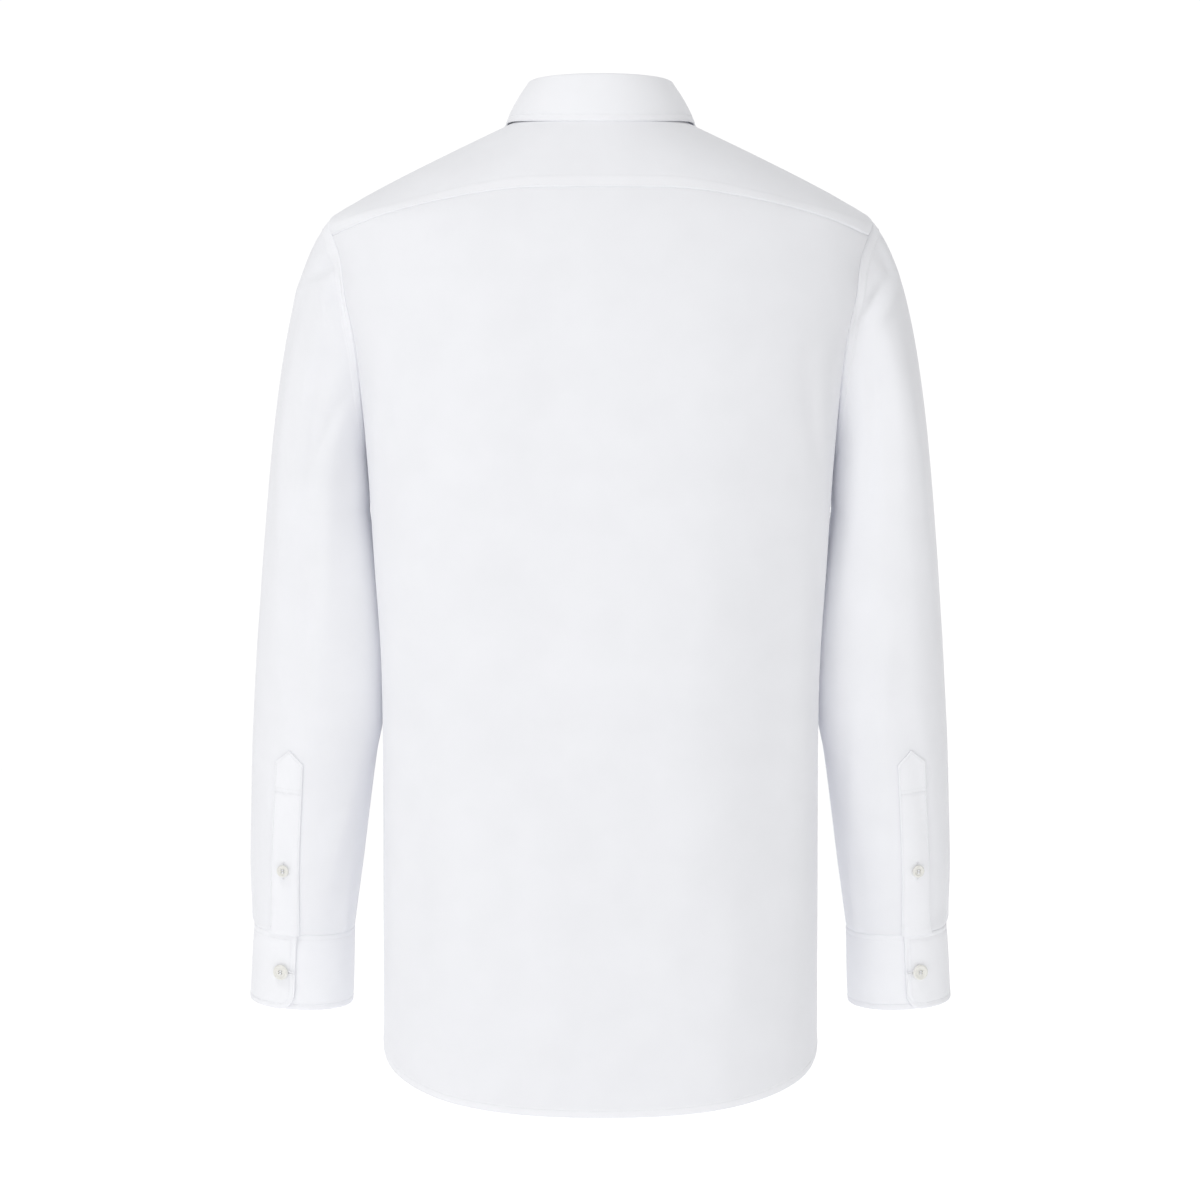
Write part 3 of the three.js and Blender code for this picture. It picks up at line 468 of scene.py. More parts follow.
def neckline(angle):
    """Height of the neckline: level behind the neck, and in front over an oval seen from above."""
    angle = np.asarray(angle, float)
    middle = smooth_trunk(90, NECK_BACK_Z)
    deep = middle[1] - smooth_trunk(180, NECK_FRONT_Z)[1]
    high = np.full(angle.shape, NECK_BACK_Z)
    low = np.full(angle.shape, NECK_FRONT_Z)
    for _ in range(30):
        z = (high + low) / 2
        point = smooth_trunk(angle, z)
        inside = np.hypot(point[..., 0] / middle[0], (point[..., 1] - middle[1]) / deep) < 1
        high, low = np.where(inside, z, high), np.where(inside, low, z)
    return np.where(np.abs(angle) <= 90, NECK_BACK_Z, high)


def neck_angle_at_x(x):
    angle = front_angle_at_x(x, NECK_FRONT_Z)
    for _ in range(12):
        angle = front_angle_at_x(x, neckline(angle))
    return float(angle)


BACK_CORNER = armhole(YOKE_ARMHOLE_TURN)
FRONT_CORNER = armhole(-YOKE_ARMHOLE_TURN)


def yoke_seam(angle):
    fall = smooth(np.abs(angle), YOKE_LEVEL_ANGLE, BACK_CORNER[0])
    return mix(YOKE_CENTRE_Z, BACK_CORNER[1], fall)


def front_yoke_seam(share):
    """Seam between yoke and front, from the neck at 0 to the armhole at 1."""
    start = neckline(YOKE_NECK_ANGLE)
    return mix(YOKE_NECK_ANGLE, FRONT_CORNER[0], share), mix(start, FRONT_CORNER[1], share)


def shares(steps, ends=()):
    """Shares 0 to 1 in even steps, with more of them at the distances from both ends that are given."""
    more = [t for end in ends for t in (end, 1 - end)]
    return np.unique(np.round(np.concatenate([np.linspace(0, 1, steps + 1), more]), 7))


# Share of a panel's edge, from the hem up, that is side seam. The rest is armhole.
SIDE_SHARE = float((ARMHOLE_BOTTOM_Z - SIDE_HEM_Z) / (BACK_CORNER[1] - SIDE_HEM_Z))
EDGE_SHARES = (0.0009, 0.0018, 0.0036, 0.006, 0.0082, 0.0095, 0.0125, 0.015, 0.018)
HEM_SHARES = np.array([0, 0.001, 0.003, 0.006, 0.0075, 0.0085, 0.0095, 0.0115, 0.015])
PANEL_ROWS = np.unique(np.round(np.concatenate([
    HEM_SHARES,
    np.linspace(0, SIDE_SHARE, 76),
    np.linspace(SIDE_SHARE, 1, 49),
    1 - np.array(EDGE_SHARES),
]), 7))


def panel_edge(share, direction):
    """Left edge of a panel at shares of its height, up the side seam and round the armhole."""
    along_side = mix(SIDE_HEM_Z, ARMHOLE_BOTTOM_Z, np.minimum(share / SIDE_SHARE, 1))
    up = np.clip((share - SIDE_SHARE) / (1 - SIDE_SHARE), 0, 1)
    angle, z = armhole(direction * mix(180, YOKE_ARMHOLE_TURN, up))
    on_side = share <= SIDE_SHARE
    return np.where(on_side, angle_at_y(SIDE_SEAM_Y, along_side), angle), np.where(on_side, along_side, z)


def fill_between(low, high, near, far, across, up, late=1):
    """Angles and heights of a grid between four edges, which are each given as angles and heights."""
    low, high, near, far = (smooth_trunk(*edge) for edge in (low, high, near, far))
    u = across[None, :, None]
    v = up[:, None, None]
    height = v ** late
    rows = mix(low[None], high[None], height) + mix(near[:, None], far[:, None], u)
    corners = mix(mix(near[0], far[0], u), mix(near[-1], far[-1], u), height)
    return place_of(rows - corners)


def mirrored(edge):
    return -edge[0], edge[1]


def grid_normals(points, way, ring=False):
    """Directions at right angles to a grid of points, on the side of way. A ring joins its ends."""
    down = np.gradient(points, axis=0)
    if ring:
        across = np.roll(points, -1, axis=1) - np.roll(points, 1, axis=1)
    else:
        across = np.gradient(points, axis=1)
    normals = unit(np.cross(across, down))
    return -normals if (normals * way).sum() < 0 else normals


def edge_distances(points):
    """Lengths along the grid's lines from its first and last row and from its first and last column."""
    rows = np.linalg.norm(np.diff(points, axis=0), axis=-1)
    columns = np.linalg.norm(np.diff(points, axis=1), axis=-1)
    low = np.vstack([np.zeros((1, points.shape[1])), np.cumsum(rows, axis=0)])
    near = np.hstack([np.zeros((points.shape[0], 1)), np.cumsum(columns, axis=1)])
    return {"low": low, "high": low[-1:] - low, "near": near, "far": near[:, -1:] - near}


def rolled(distance, sink, width):
    """An edge that rolls down by sink over the width given."""
    return -sink * (1 - smooth(distance, 0, width)) ** 2


def seam_relief(distance, band=SEAM_BAND, lift=SEAM_LIFT):
    """A seam's edge that rolls down, and the doubled cloth beside it that stands a little proud."""
    doubled = lift * (1 - smooth(distance, band - 0.0009, band + 0.0011))
    return doubled + rolled(distance, SEAM_SINK, SEAM_ROLL)


def pucker(along, distance, row_at, rise=0.00022, pitch=0.0105):
    """Small uneven puckers beside a row of stitches."""
    wander = np.sin(along * 2 * np.pi / pitch) + 0.6 * np.sin(along * 2 * np.pi / (pitch * 0.37) + 1.3)
    wander = wander * (0.6 + 0.4 * np.sin(along * 2 * np.pi / 0.083 + 0.7))
    return rise * wander * np.exp(-(((distance - row_at) / 0.004) ** 2))


# Finishes
MATERIALS = {}


def new_material(name):
    made = bpy.data.materials.new(name)
    made.use_nodes = True
    MATERIALS[name] = made
    return made.node_tree, made.node_tree.nodes["Principled BSDF"]


def add_node(tree, kind, inputs, **settings):
    """A shader node. inputs gives each socket a value or the output that is linked to it."""
    made = tree.nodes.new(kind)
    for name, value in settings.items():
        setattr(made, name, value)
    for socket, value in inputs.items():
        if isinstance(value, bpy.types.NodeSocket):
            tree.links.new(value, made.inputs[socket])
        else:
            made.inputs[socket].default_value = value
    return made


def math_node(tree, operation, *values):
    return add_node(tree, "ShaderNodeMath", dict(enumerate(values)), operation=operation).outputs["Value"]


def object_place(tree):
    return add_node(tree, "ShaderNodeTexCoord", {}).outputs["Object"]


def add_bump(tree, shader, height, strength, distance):
    bump = add_node(tree, "ShaderNodeBump", {"Height": height, "Strength": strength, "Distance": distance})
    tree.links.new(bump.outputs["Normal"], shader.inputs["Normal"])


def mesh_object(name, vertices, faces, material, smooth_angle=50):
    """A mesh object on the root body, shaded smooth except at edges sharper than the angle given."""
    data = bpy.data.meshes.new(name)
    data.from_pydata(np.asarray(vertices, float).tolist(), [], faces)
    data.update()
    data.polygons.foreach_set("use_smooth", [True] * len(data.polygons))
    data.set_sharp_from_angle(angle=math.radians(smooth_angle))
    data.materials.append(MATERIALS[material])
    made = bpy.data.objects.new(name, data)
    bpy.context.scene.collection.objects.link(made)
    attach(made, "root")
    return made


def grid_faces(rows, columns, start, spans):
    """Quads of a grid whose points are numbered from start, row by row."""
    j, i = np.mgrid[0:rows - 1, 0:spans]
    a = start + j * columns + i
    b = start + j * columns + (i + 1) % columns
    return np.stack([a, b, b + columns, a + columns], -1).reshape(-1, 4)


def shell(name, outer, inner, material, ring=False, doubled=None):
    """A closed cloth shell between two grids of points, doubled all over if doubled doesn't say where."""
    rows, columns = outer.shape[:2]
    count = rows * columns
    spans = columns if ring else columns - 1
    top = grid_faces(rows, columns, 0, spans)
    under = grid_faces(rows, columns, count, spans)[:, ::-1]
    i = np.arange(spans)
    following = (i + 1) % columns
    last = (rows - 1) * columns
    rims = [
        np.stack([i, i + count, following + count, following], -1),
        np.stack([last + following, last + following + count, last + i + count, last + i], -1),
    ]
    if not ring:
        j = np.arange(rows - 1) * columns
        end = columns - 1
        rims.append(np.stack([j + columns, j + columns + count, j + count, j], -1))
        rims.append(np.stack([j + end, j + end + count, j + end + columns + count, j + end + columns], -1))
    faces = np.concatenate([top, under, *rims])
    vertices = np.concatenate([outer.reshape(-1, 3), inner.reshape(-1, 3)])
    corners = vertices[top]
    facing = np.cross(corners[:, 1] - corners[:, 0], corners[:, 2] - corners[:, 0])
    outward = corners[:, 0] - vertices[top + count][:, 0]
    if (facing * outward).sum() < 0:
        faces = faces[:, ::-1]
    made = mesh_object(name, vertices, faces.tolist(), material)
    layers = made.data.attributes.new("doubled", "FLOAT", "POINT")
    values = np.ones(2 * count) if doubled is None else np.tile(np.clip(doubled, 0, 1).ravel(), 2)
    layers.data.foreach_set("value", values.astype(np.float32))
    return made


def join_rings(faces, start, rings, sides, closed=False):
    """Adds the quads between rings of points that are numbered from start."""
    for j in range(rings if closed else rings - 1):
        low, high = start + j * sides, start + (j + 1) % rings * sides
        for k in range(sides):
            following = (k + 1) % sides
            faces.append((low + k, low + following, high + following, high + k))


def ring_turns(sides):
    return [2 * math.pi * k / sides for k in range(sides)]


# Rows of stitches, kept as points and directions until all pieces are made
STITCH_ROWS = []


def resample(points, pitch):
    """Points along a line at an even pitch."""
    lengths = np.concatenate([[0], np.cumsum(np.linalg.norm(np.diff(points, axis=0), axis=1))])
    places = np.arange(0, lengths[-1], pitch)
    return np.stack([np.interp(places, lengths, points[:, k]) for k in range(3)], -1)


def line_at(points, distance, at, along_rows=True):
    """Line on a grid at one distance from an edge. along_rows: it crosses the columns."""
    grid = points if along_rows else np.swapaxes(points, 0, 1)
    away = distance if along_rows else distance.T
    line = []
    for k in range(grid.shape[1]):
        order = np.argsort(away[:, k])
        line.append([np.interp(at, away[order, k], grid[order, k, axis]) for axis in range(3)])
    return np.array(line)


def sew(points, pitch=STITCH_PITCH):
    STITCH_ROWS.append(resample(np.asarray(points), pitch))


def make_stitches():
    """One mesh of short raised stitches along every row that was sewn."""
    sides = 5
    vertices, faces = [], []
    ring = np.linspace(0, 2 * np.pi, sides, endpoint=False)
    for row in STITCH_ROWS:
        ahead = unit(np.gradient(row, axis=0))
        for middle, along in zip(row, ahead):
            up = np.array([0, 0, 1]) if abs(along[2]) < 0.8 else np.array([0, 1, 0])
            side = unit(np.cross(along, up))
            rise = np.cross(side, along)
            start = len(vertices)
            for place, girth in ((-0.5, 0.35), (-0.25, 1), (0.25, 1), (0.5, 0.35)):
                centre = middle + along * place * STITCH_LENGTH
                for t in ring:
                    spoke = side * math.cos(t) + rise * math.sin(t)
                    vertices.append(centre + spoke * girth * THREAD_RADIUS)
            join_rings(faces, start, 4, sides)
            faces.append(tuple(start + i for i in range(sides))[::-1])
            faces.append(tuple(start + 3 * sides + i for i in range(sides)))
    mesh_object("stitching", vertices, faces, "thread")


def groove(distance, at, depth=0.00022, width=0.0008):
    """A shallow line where stitches pull the cloth in."""
    return -depth * np.exp(-(((distance - at) / width) ** 2))


# Trunk panels
def trunk_piece(name, places, seams, hem=False):
    """Shell over places on the trunk. seams: the band of doubled cloth beside each named edge."""
    base = trunk_point(*places)
    turn = np.radians(places[0])
    normals = grid_normals(base, vector(np.sin(turn), np.cos(turn), 0))
    away = edge_distances(base)
    relief = np.zeros(base.shape[:2])
    doubled = np.zeros(base.shape[:2])
    thick = np.full(base.shape[:2], CLOTH)
    for edge, band in seams.items():
        relief = relief + seam_relief(away[edge], max(band, 0.001), SEAM_LIFT if band else 0)
        if band:
            doubled = np.maximum(doubled, 1 - smooth(away[edge], band - 0.0005, band + 0.0009))
    if hem:
        along = away["near"]
        folded = 1 - smooth(away["low"], HEM_BAND, HEM_BAND + 0.0012)
        relief = relief + HEM_LIFT * folded + rolled(away["low"], 0.0003, 0.0012)
        relief = relief + groove(away["low"], HEM_BAND - 0.0006) + pucker(along, away["low"], HEM_BAND)
        thick = thick + HEM_DOUBLE * folded
        doubled = np.maximum(doubled, folded)
    outer = base + normals * relief[..., None]
    inner = base - normals * (thick - np.minimum(relief, 0))[..., None]
    made = shell(name, outer, inner, "shirting", doubled=doubled)
    if hem:
        sew(line_at(outer, away["low"], HEM_BAND - 0.0006) + line_at(normals, away["low"], HEM_BAND) * 0.0001)
    return made, outer, away


def make_back():
    across = shares(150, (0.0015, 0.003, 0.005))
    side = 2 * across - 1
    hem_z = mix(BACK_TAIL_Z, SIDE_HEM_Z, side * side)
    hem = (side * float(angle_at_y(SIDE_SEAM_Y, SIDE_HEM_Z)), hem_z)
    top_angle = side * BACK_CORNER[0]
    left = panel_edge(PANEL_ROWS, 1)
    places = fill_between(hem, (top_angle, yoke_seam(top_angle)), mirrored(left), left,
                          across, PANEL_ROWS, PANEL_LATE)
    made, _, _ = trunk_piece("back_cloth", places, {"high": 0, "near": 0, "far": 0}, hem=True)
    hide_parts("back")


def make_front(name, node, side, edge_x):
    neck_part = np.linspace(0, 1, 41)
    across = np.concatenate([neck_part * NECKLINE_SHARE, mix(NECKLINE_SHARE, 1, np.linspace(0, 1, 46)[1:])])
    neck_angle = neck_angle_at_x(edge_x)
    neck_z = float(neckline(neck_angle))
    hem_angle = float(front_angle_at_x(edge_x, FRONT_TAIL_Z))
    hem = (mix(hem_angle, float(angle_at_y(SIDE_SEAM_Y, SIDE_HEM_Z)), across),
           mix(FRONT_TAIL_Z, SIDE_HEM_Z, across * across))
    neck_angles = mix(neck_angle, YOKE_NECK_ANGLE, neck_part ** 1.5)
    seam = front_yoke_seam(np.linspace(0, 1, 46)[1:])
    top = (np.concatenate([neck_angles, seam[0]]), np.concatenate([neckline(neck_angles), seam[1]]))
    near_z = mix(FRONT_TAIL_Z, neck_z, PANEL_ROWS)
    near = (front_angle_at_x(edge_x, near_z), near_z)
    places = fill_between(hem, top, near, panel_edge(PANEL_ROWS, -1), across, PANEL_ROWS, PANEL_LATE)
    if side < 0:
        places = mirrored(places)
    made, _, _ = trunk_piece(name, places, {"high": 0, "far": FRONT_SEAM_BAND}, hem=True)
    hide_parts(node)


def make_yoke():
    shoulder = np.linspace(0, 1, 31)
    over_back = np.linspace(0, 1, 91)[1:-1]
    outer = armhole(mix(-YOKE_ARMHOLE_TURN, YOKE_ARMHOLE_TURN, shoulder))
    neck_angle = mix(YOKE_NECK_ANGLE, YOKE_RIDGE_ANGLE, shoulder)
    back_neck = mix(YOKE_RIDGE_ANGLE, -YOKE_RIDGE_ANGLE, over_back)
    back_outer = mix(float(BACK_CORNER[0]), -float(BACK_CORNER[0]), over_back)
    necks = np.concatenate([neck_angle, back_neck, -neck_angle[::-1]])
    outers = np.concatenate([outer[0], back_outer, -outer[0][::-1]])
    outer_z = np.concatenate([outer[1], yoke_seam(back_outer), outer[1][::-1]])
    rows = shares(56, (0.003, 0.007, 0.012, 0.024))
    seam = front_yoke_seam(rows)
    places = fill_between((necks, neckline(necks)), (outers, outer_z), seam, mirrored(seam),
                          np.linspace(0, 1, len(necks)), rows)
    bands = {"low": 0, "high": SEAM_BAND, "near": FRONT_SEAM_BAND, "far": FRONT_SEAM_BAND}
    made, points, away = trunk_piece("yoke_cloth", places, bands)
    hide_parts("yoke")
    back_part = slice(len(shoulder) - 3, len(necks) - len(shoulder) + 3)
    sew(line_at(points[:, back_part], away["high"][:, back_part], EDGE_STITCH))
    for edge in ("near", "far"):
        sew(line_at(points, away[edge], EDGE_STITCH, along_rows=False))


# Sleeves
def arm_section(z):
    """Centre, axis and two cross directions of the arm at heights z."""
    z = np.asarray(z, float)

    def centre(height):
        return vector(column(ARM, "x", height), column(ARM, "y", height), height)

    near = np.clip(z, ARM_END + 0.001, ARM_TOP - 0.001)
    axis = unit(centre(near - 0.001) - centre(near + 0.001))
    outward = unit(np.array([1.0, 0, 0]) - axis * axis[..., :1])
    return centre(z), axis, outward, np.cross(outward, axis)


def sleeve_fold(side, turn, z):
    """How far the sleeve's folds and pleats stand out, at turns round the arm and heights."""
    out = folds_at(SLEEVE_FOLDS, turn, z, side)
    for i in np.flatnonzero(PLEATS["side"] == side):
        place = ((turn - PLEATS["turn"][i] + 180) % 360 - 180) / PLEATS["width"][i]
        swell = smooth(place, -1, -0.05) * (1 - smooth(place, 0, 0.16))
        up = (z - ARM_END) / PLEATS["reach"][i]
        out = out + PLEATS["rise"][i] * swell * np.exp(-up * up) * smooth(up, -0.02, 0.12)
    lapped = smooth(turn, -10, CUFF_UNDER_END - 6) * (1 - smooth(turn, CUFF_TOP_END - 6, CUFF_TOP_END + 8))
    return out + CUFF_LAP * lapped * np.exp(-(((z - ARM_END) / CUFF_MEET) ** 2))


def oval_point(section, half, deep, turn, out=0.0):
    centre, _, outward, backward = section
    t = np.radians(turn)
    along = ((half + out) * np.cos(t))[..., None]
    deeper = ((deep + out) * np.sin(t))[..., None]
    return centre + outward * along + backward * deeper


def arm_point(side, turn, z, out=0.0):
    turn, z = pair(turn, z)
    fold = sleeve_fold(side, turn, z)
    return oval_point(arm_section(z), column(ARM, "half", z), column(ARM, "deep", z), turn, out + fold)


def cap_point(side, turn, share):
    """Sleeve head, from the armhole at 0 to the top of the arm tube at 1."""
    turn, share = pair(turn, share)
    t = np.radians(turn)
    top = (1 + np.cos(t)) / 2
    begin = trunk_point(*armhole(turn))
    end = arm_point(side, turn, ARM_TOP)
    out = mix(CAP_OUT_BOTTOM, CAP_OUT_TOP, np.sqrt(top))
    start_way = unit(vector(out, -CAP_TURN_IN * np.sin(2 * t), -0.75))
    start_way = start_way * (CAP_START["middle"] + CAP_START["change"] * np.cos(t))[..., None]
    end_way = unit(arm_point(side, turn, ARM_TOP - 0.001) - end)
    end_way = end_way * (CAP_END["least"] + CAP_END["most"] * top ** CAP_END["power"])[..., None]
    point = curve(begin, end, start_way, end_way, share[..., None])
    swell = sleeve_fold(side, turn, point[..., 2]) * np.sin(np.pi * share)
    by_seam = smooth(share, 0.01, 0.06) * (1 - smooth(share, 0.5, 0.9))
    swell = swell + folds_at(HEAD_FOLDS, turn, point[..., 2], side) * by_seam
    return point + vector(np.cos(t), np.sin(t), 0) * swell[..., None]


def on_side(side, points):
    return points * np.array([side, 1, 1])


WRIST = arm_section(ARM_END)


def make_sleeve(word, side):
    turns = np.arange(-180, 180, 2.5)
    cap = np.unique(np.concatenate([[0, 0.003, 0.006, 0.01], shares(54) ** 1.3]))
    arm = shares(110, (0.002, 0.005))[1:]
    cap_grid = cap_point(side, turns[None], cap[:, None])
    arm_grid = arm_point(side, turns[None], mix(ARM_TOP, ARM_END, arm)[:, None])
    base = np.concatenate([cap_grid, arm_grid])
    centre = base.mean(1, keepdims=True)
    normals = grid_normals(base, base - centre, ring=True)
    seam_way = trunk_normal(*armhole(turns))
    normals[0] = unit(normals[1] * 0.4 + seam_way)
    normals[1] = unit(normals[2] * 0.8 + seam_way * 0.5)
    away = edge_distances(base)
    over_top = 1 - smooth(np.abs(turns), 95, 150)[None]
    relief = seam_relief(away["low"], SEAM_BAND, SEAM_LIFT * over_top)
    relief = relief + rolled(away["high"], 0.0006, 0.003)
    doubled = (1 - smooth(away["low"], SEAM_BAND - 0.0005, SEAM_BAND + 0.0009)) * over_top
    outer = base + normals * relief[..., None]
    inner = base - normals * (CLOTH - np.minimum(relief, 0))[..., None]
    tuck = unit(centre[-1] - base[-1])
    end = outer[-1]
    tucked = [end + tuck * 0.0002 + WRIST[1] * TUCK_IN / 2, end + tuck * 0.0004 + WRIST[1] * TUCK_IN]
    outer = np.concatenate([outer, tucked])
    inner = np.concatenate([inner, [point + tuck * CLOTH for point in tucked]])
    doubled = np.concatenate([doubled, doubled[-1:] * 0, doubled[-1:] * 0])
    made = shell(f"sleeve_{word}_cloth", on_side(side, outer), on_side(side, inner), "shirting",
                 ring=True, doubled=doubled)
    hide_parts(f"sleeve_{word}")
    seam_rows = np.roll(outer[:-2], 72, 1)
    sew(on_side(side, line_at(seam_rows, np.roll(away["low"], 72, 1), SEAM_BAND - 0.001)))


# Gauntlets
def gauntlet_spot(along, across):
    z = ARM_END + along
    t = math.radians(GAUNTLET_TURN)
    radius = np.hypot(column(ARM, "half", z) * math.sin(t), column(ARM, "deep", z) * math.cos(t))
    return GAUNTLET_TURN + np.degrees(across / radius), z


def make_gauntlet(word, side):
    across = np.linspace(-1, 1, 33)[None]
    top = GAUNTLET_LENGTH - GAUNTLET_POINT * np.abs(across)
    along = mix(SEAM, top, shares(90, (0.004, 0.009))[:, None])
    turn, z = gauntlet_spot(along, across * GAUNTLET_WIDTH / 2)
    base = arm_point(side, turn, z, SEAM + STRIP_CLOTH)
    under = arm_point(side, turn, z, SEAM)
    normals = unit(base - under)
    edge = np.minimum(GAUNTLET_WIDTH / 2 * (1 - np.abs(across)) + 0 * along, (top - along) * 0.78)
    relief = rolled(edge, 0.0005, 0.0009) + groove(edge, EDGE_STITCH, 0.00016)
    relief = relief + groove(along, GAUNTLET_BAR_UP, 0.0006) + pucker(along, edge, 0.003, 0.00014)
    outer = base + normals * relief[..., None]
    made = shell(f"gauntlet_{word}_cloth", on_side(side, outer), on_side(side, under), "shirting")
    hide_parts(f"gauntlet_{word}")

    def strip_line(alongs, acrosses):
        turns, heights = gauntlet_spot(np.asarray(alongs, float), np.asarray(acrosses, float))
        return on_side(side, arm_point(side, turns, heights, SEAM + STRIP_CLOTH))

    half = GAUNTLET_WIDTH / 2 - EDGE_STITCH
    peak = GAUNTLET_LENGTH - EDGE_STITCH * 1.4
    shoulder = peak - GAUNTLET_POINT
    steps = np.linspace(0, 1, 60)
    sew(strip_line(mix(0.001, shoulder, steps), np.full(60, half)))
    sew(strip_line(mix(0.001, shoulder, steps), np.full(60, -half)))
    sew(strip_line(mix(shoulder, peak, steps), mix(half, 0, steps)))
    sew(strip_line(mix(shoulder, peak, steps), mix(-half, 0, steps)))
    sew(strip_line(np.full(60, GAUNTLET_BAR_UP), mix(-half, half, steps)))
    sew(strip_line(np.full(60, GAUNTLET_BAR_UP + GAUNTLET_BAR_HEIGHT), mix(-half, half, steps)))


# Cuffs
CUFF_END_CENTRE = np.array([CUFF_BOTTOM["x"], CUFF_BOTTOM["y"], ARM_END - CUFF_HEIGHT])


def cuff_point(turn, down, out=0.0):
    turn, down = pair(turn, down)
    share = down / CUFF_HEIGHT
    start = WRIST[0] - WRIST[1] * CUFF_COVER
    centre = start + (CUFF_END_CENTRE - start) * share[..., None]
    half = mix(ARM["half"][-1], CUFF_BOTTOM["half"], share) + CUFF_STAND_OUT
    deep = mix(ARM["deep"][-1], CUFF_BOTTOM["deep"], share) + CUFF_STAND_OUT
    lap = CUFF_LAP * smooth(turn, -10, CUFF_UNDER_END - 6)
    return oval_point((centre, *WRIST[1:]), half, deep, turn, out + lap)


def cuff_lowest(turn):
    corner_turn = math.degrees(CUFF_CORNER / CUFF_BOTTOM["half"])
    past = np.clip(1 - (CUFF_TOP_END - turn) / corner_turn, 0, 1)
    return CUFF_HEIGHT - CUFF_CORNER * (1 - np.sqrt(1 - past * past))


def make_cuff(word, side):
    corner_turn = math.degrees(CUFF_CORNER / CUFF_BOTTOM["half"])
    first = CUFF_UNDER_END - 360
    turns = np.concatenate([
        np.linspace(first, CUFF_TOP_END - corner_turn, 170),
        mix(CUFF_TOP_END - corner_turn, CUFF_TOP_END, np.sin(np.linspace(0, 1, 16)[1:] * np.pi / 2)),
    ])
    rows = shares(44, (0.006, 0.012))
    down = rows[:, None] * cuff_lowest(turns)[None]
    base = cuff_point(turns[None], down)
    under = cuff_point(turns[None], down, -FIRM_CLOTH)
    normals = unit(base - under)
    away = edge_distances(base)
    end = np.minimum(away["high"], away["far"])
    edge = np.minimum(away["low"], np.minimum(end, away["near"]))
    relief = rolled(edge, 0.0006, 0.0016) + groove(edge, CUFF_STITCH, 0.0005, 0.001)
    relief = relief + pucker(away["near"], away["low"], CUFF_STITCH, 0.0002, 0.013)
    relief = relief + pucker(away["near"], away["high"], CUFF_STITCH, 0.0002, 0.012)
    relief = relief + 0.0003 * np.sin(turns[None] / 9.0 + 3 * rows[:, None]) * np.sin(np.pi * rows[:, None])
    outer = base + normals * relief[..., None]
    made = shell(f"cuff_{word}_cloth", on_side(side, outer), on_side(side, under), "firm_shirting")
    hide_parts(f"cuff_{word}")
    inside = slice(2, -8)
    sew(on_side(side, line_at(outer[:, inside], away["low"][:, inside], CUFF_STITCH)))
    lower = turns[turns < CUFF_TOP_END - corner_turn]
    sew(on_side(side, cuff_point(lower, cuff_lowest(lower) - CUFF_STITCH)))
    bend = np.linspace(0, 1, 30)
    inset = math.degrees(CUFF_STITCH / CUFF_BOTTOM["half"])
    corner = CUFF_TOP_END - corner_turn + (corner_turn - inset) * np.sin(bend * np.pi / 2)
    height = CUFF_HEIGHT - CUFF_CORNER + (CUFF_CORNER - CUFF_STITCH) * np.cos(bend * np.pi / 2)
    sew(on_side(side, cuff_point(corner, height)))
    rise = np.linspace(CUFF_STITCH, CUFF_HEIGHT - CUFF_CORNER, 40)
    sew(on_side(side, cuff_point(np.full(40, CUFF_TOP_END - inset), rise)))


# Collar
def towards_ends(steps):
    """Shares from -1 to 1 that lie closer together towards both ends."""
    place = np.linspace(-1, 1, steps + 1)
    return np.sign(place) * (1 - (1 - np.abs(place)) ** 1.3)


def fold_point(angle):
    """Top of the stand, where the fall turns over it."""
    angle = np.asarray(angle, float)
    base = trunk_point(angle, neckline(angle))
    t = np.radians(angle)
    lean = np.where(np.cos(t) > 0, STAND_LEAN_BACK, STAND_LEAN_FRONT)
    level = mix(STAND_HEIGHT, STAND_FRONT_HEIGHT, smooth(np.abs(angle), 90, 180))
    narrow = mix(STAND_LEAN_SIDE, lean, np.cos(t) ** 2)
    y = NECK_AXIS_Y + (base[..., 1] - NECK_AXIS_Y) * mix(1, lean, np.abs(np.cos(t)))
    return vector(base[..., 0] * narrow, y, base[..., 2] + STAND_LIFT + level)


def out_from_neck(angle):
    along = fold_point(angle + 1) - fold_point(angle - 1)
    return -unit(vector(along[..., 1], -along[..., 0], 0))


def make_stand():
    angles = towards_ends(160) * (180 + STAND_LAP)
    around = np.where(np.abs(angles) > 180, angles - np.sign(angles) * 360, angles)
    tuck = (FIRM_CLOTH + 2 * SEAM) * smooth(-angles, 158, 172)
    base = trunk_point(around, neckline(around)) + vector(0, 0, STAND_LIFT + tuck / 2)
    top = fold_point(around)
    out = out_from_neck(around)
    rows = shares(16)[:, None, None]
    wall = base[None] + (top - base)[None] * rows - out[None] * tuck[None, :, None]
    away = edge_distances(wall)
    relief = groove(away["low"], STAND_STITCH, 0.0003, 0.001)
    outer = wall + out[None] * relief[..., None]
    inner = wall - out[None] * FIRM_CLOTH
    made = shell("collar_stand_cloth", outer, inner, "firm_shirting")
    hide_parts("collar_stand")
    sew(line_at(outer, away["low"], STAND_STITCH))


def fall_edge(share):
    angle = share * FALL_TIP_ANGLE
    turn = np.abs(angle)
    past = np.maximum(0, turn - 90) / (FALL_TIP_ANGLE - 90)
    upper = mix(FALL_BACK_Z, FALL_SIDE_Z, np.sin(np.radians(np.minimum(turn, 90))) ** 2)
    z = upper - (FALL_SIDE_Z - FALL_TIP_Z) * past ** 2.2
    clear = mix(FALL_CLEAR_BACK, FALL_CLEAR, smooth(turn, 25, 75))
    return trunk_point(angle, z) + trunk_normal(angle, z) * clear[..., None]


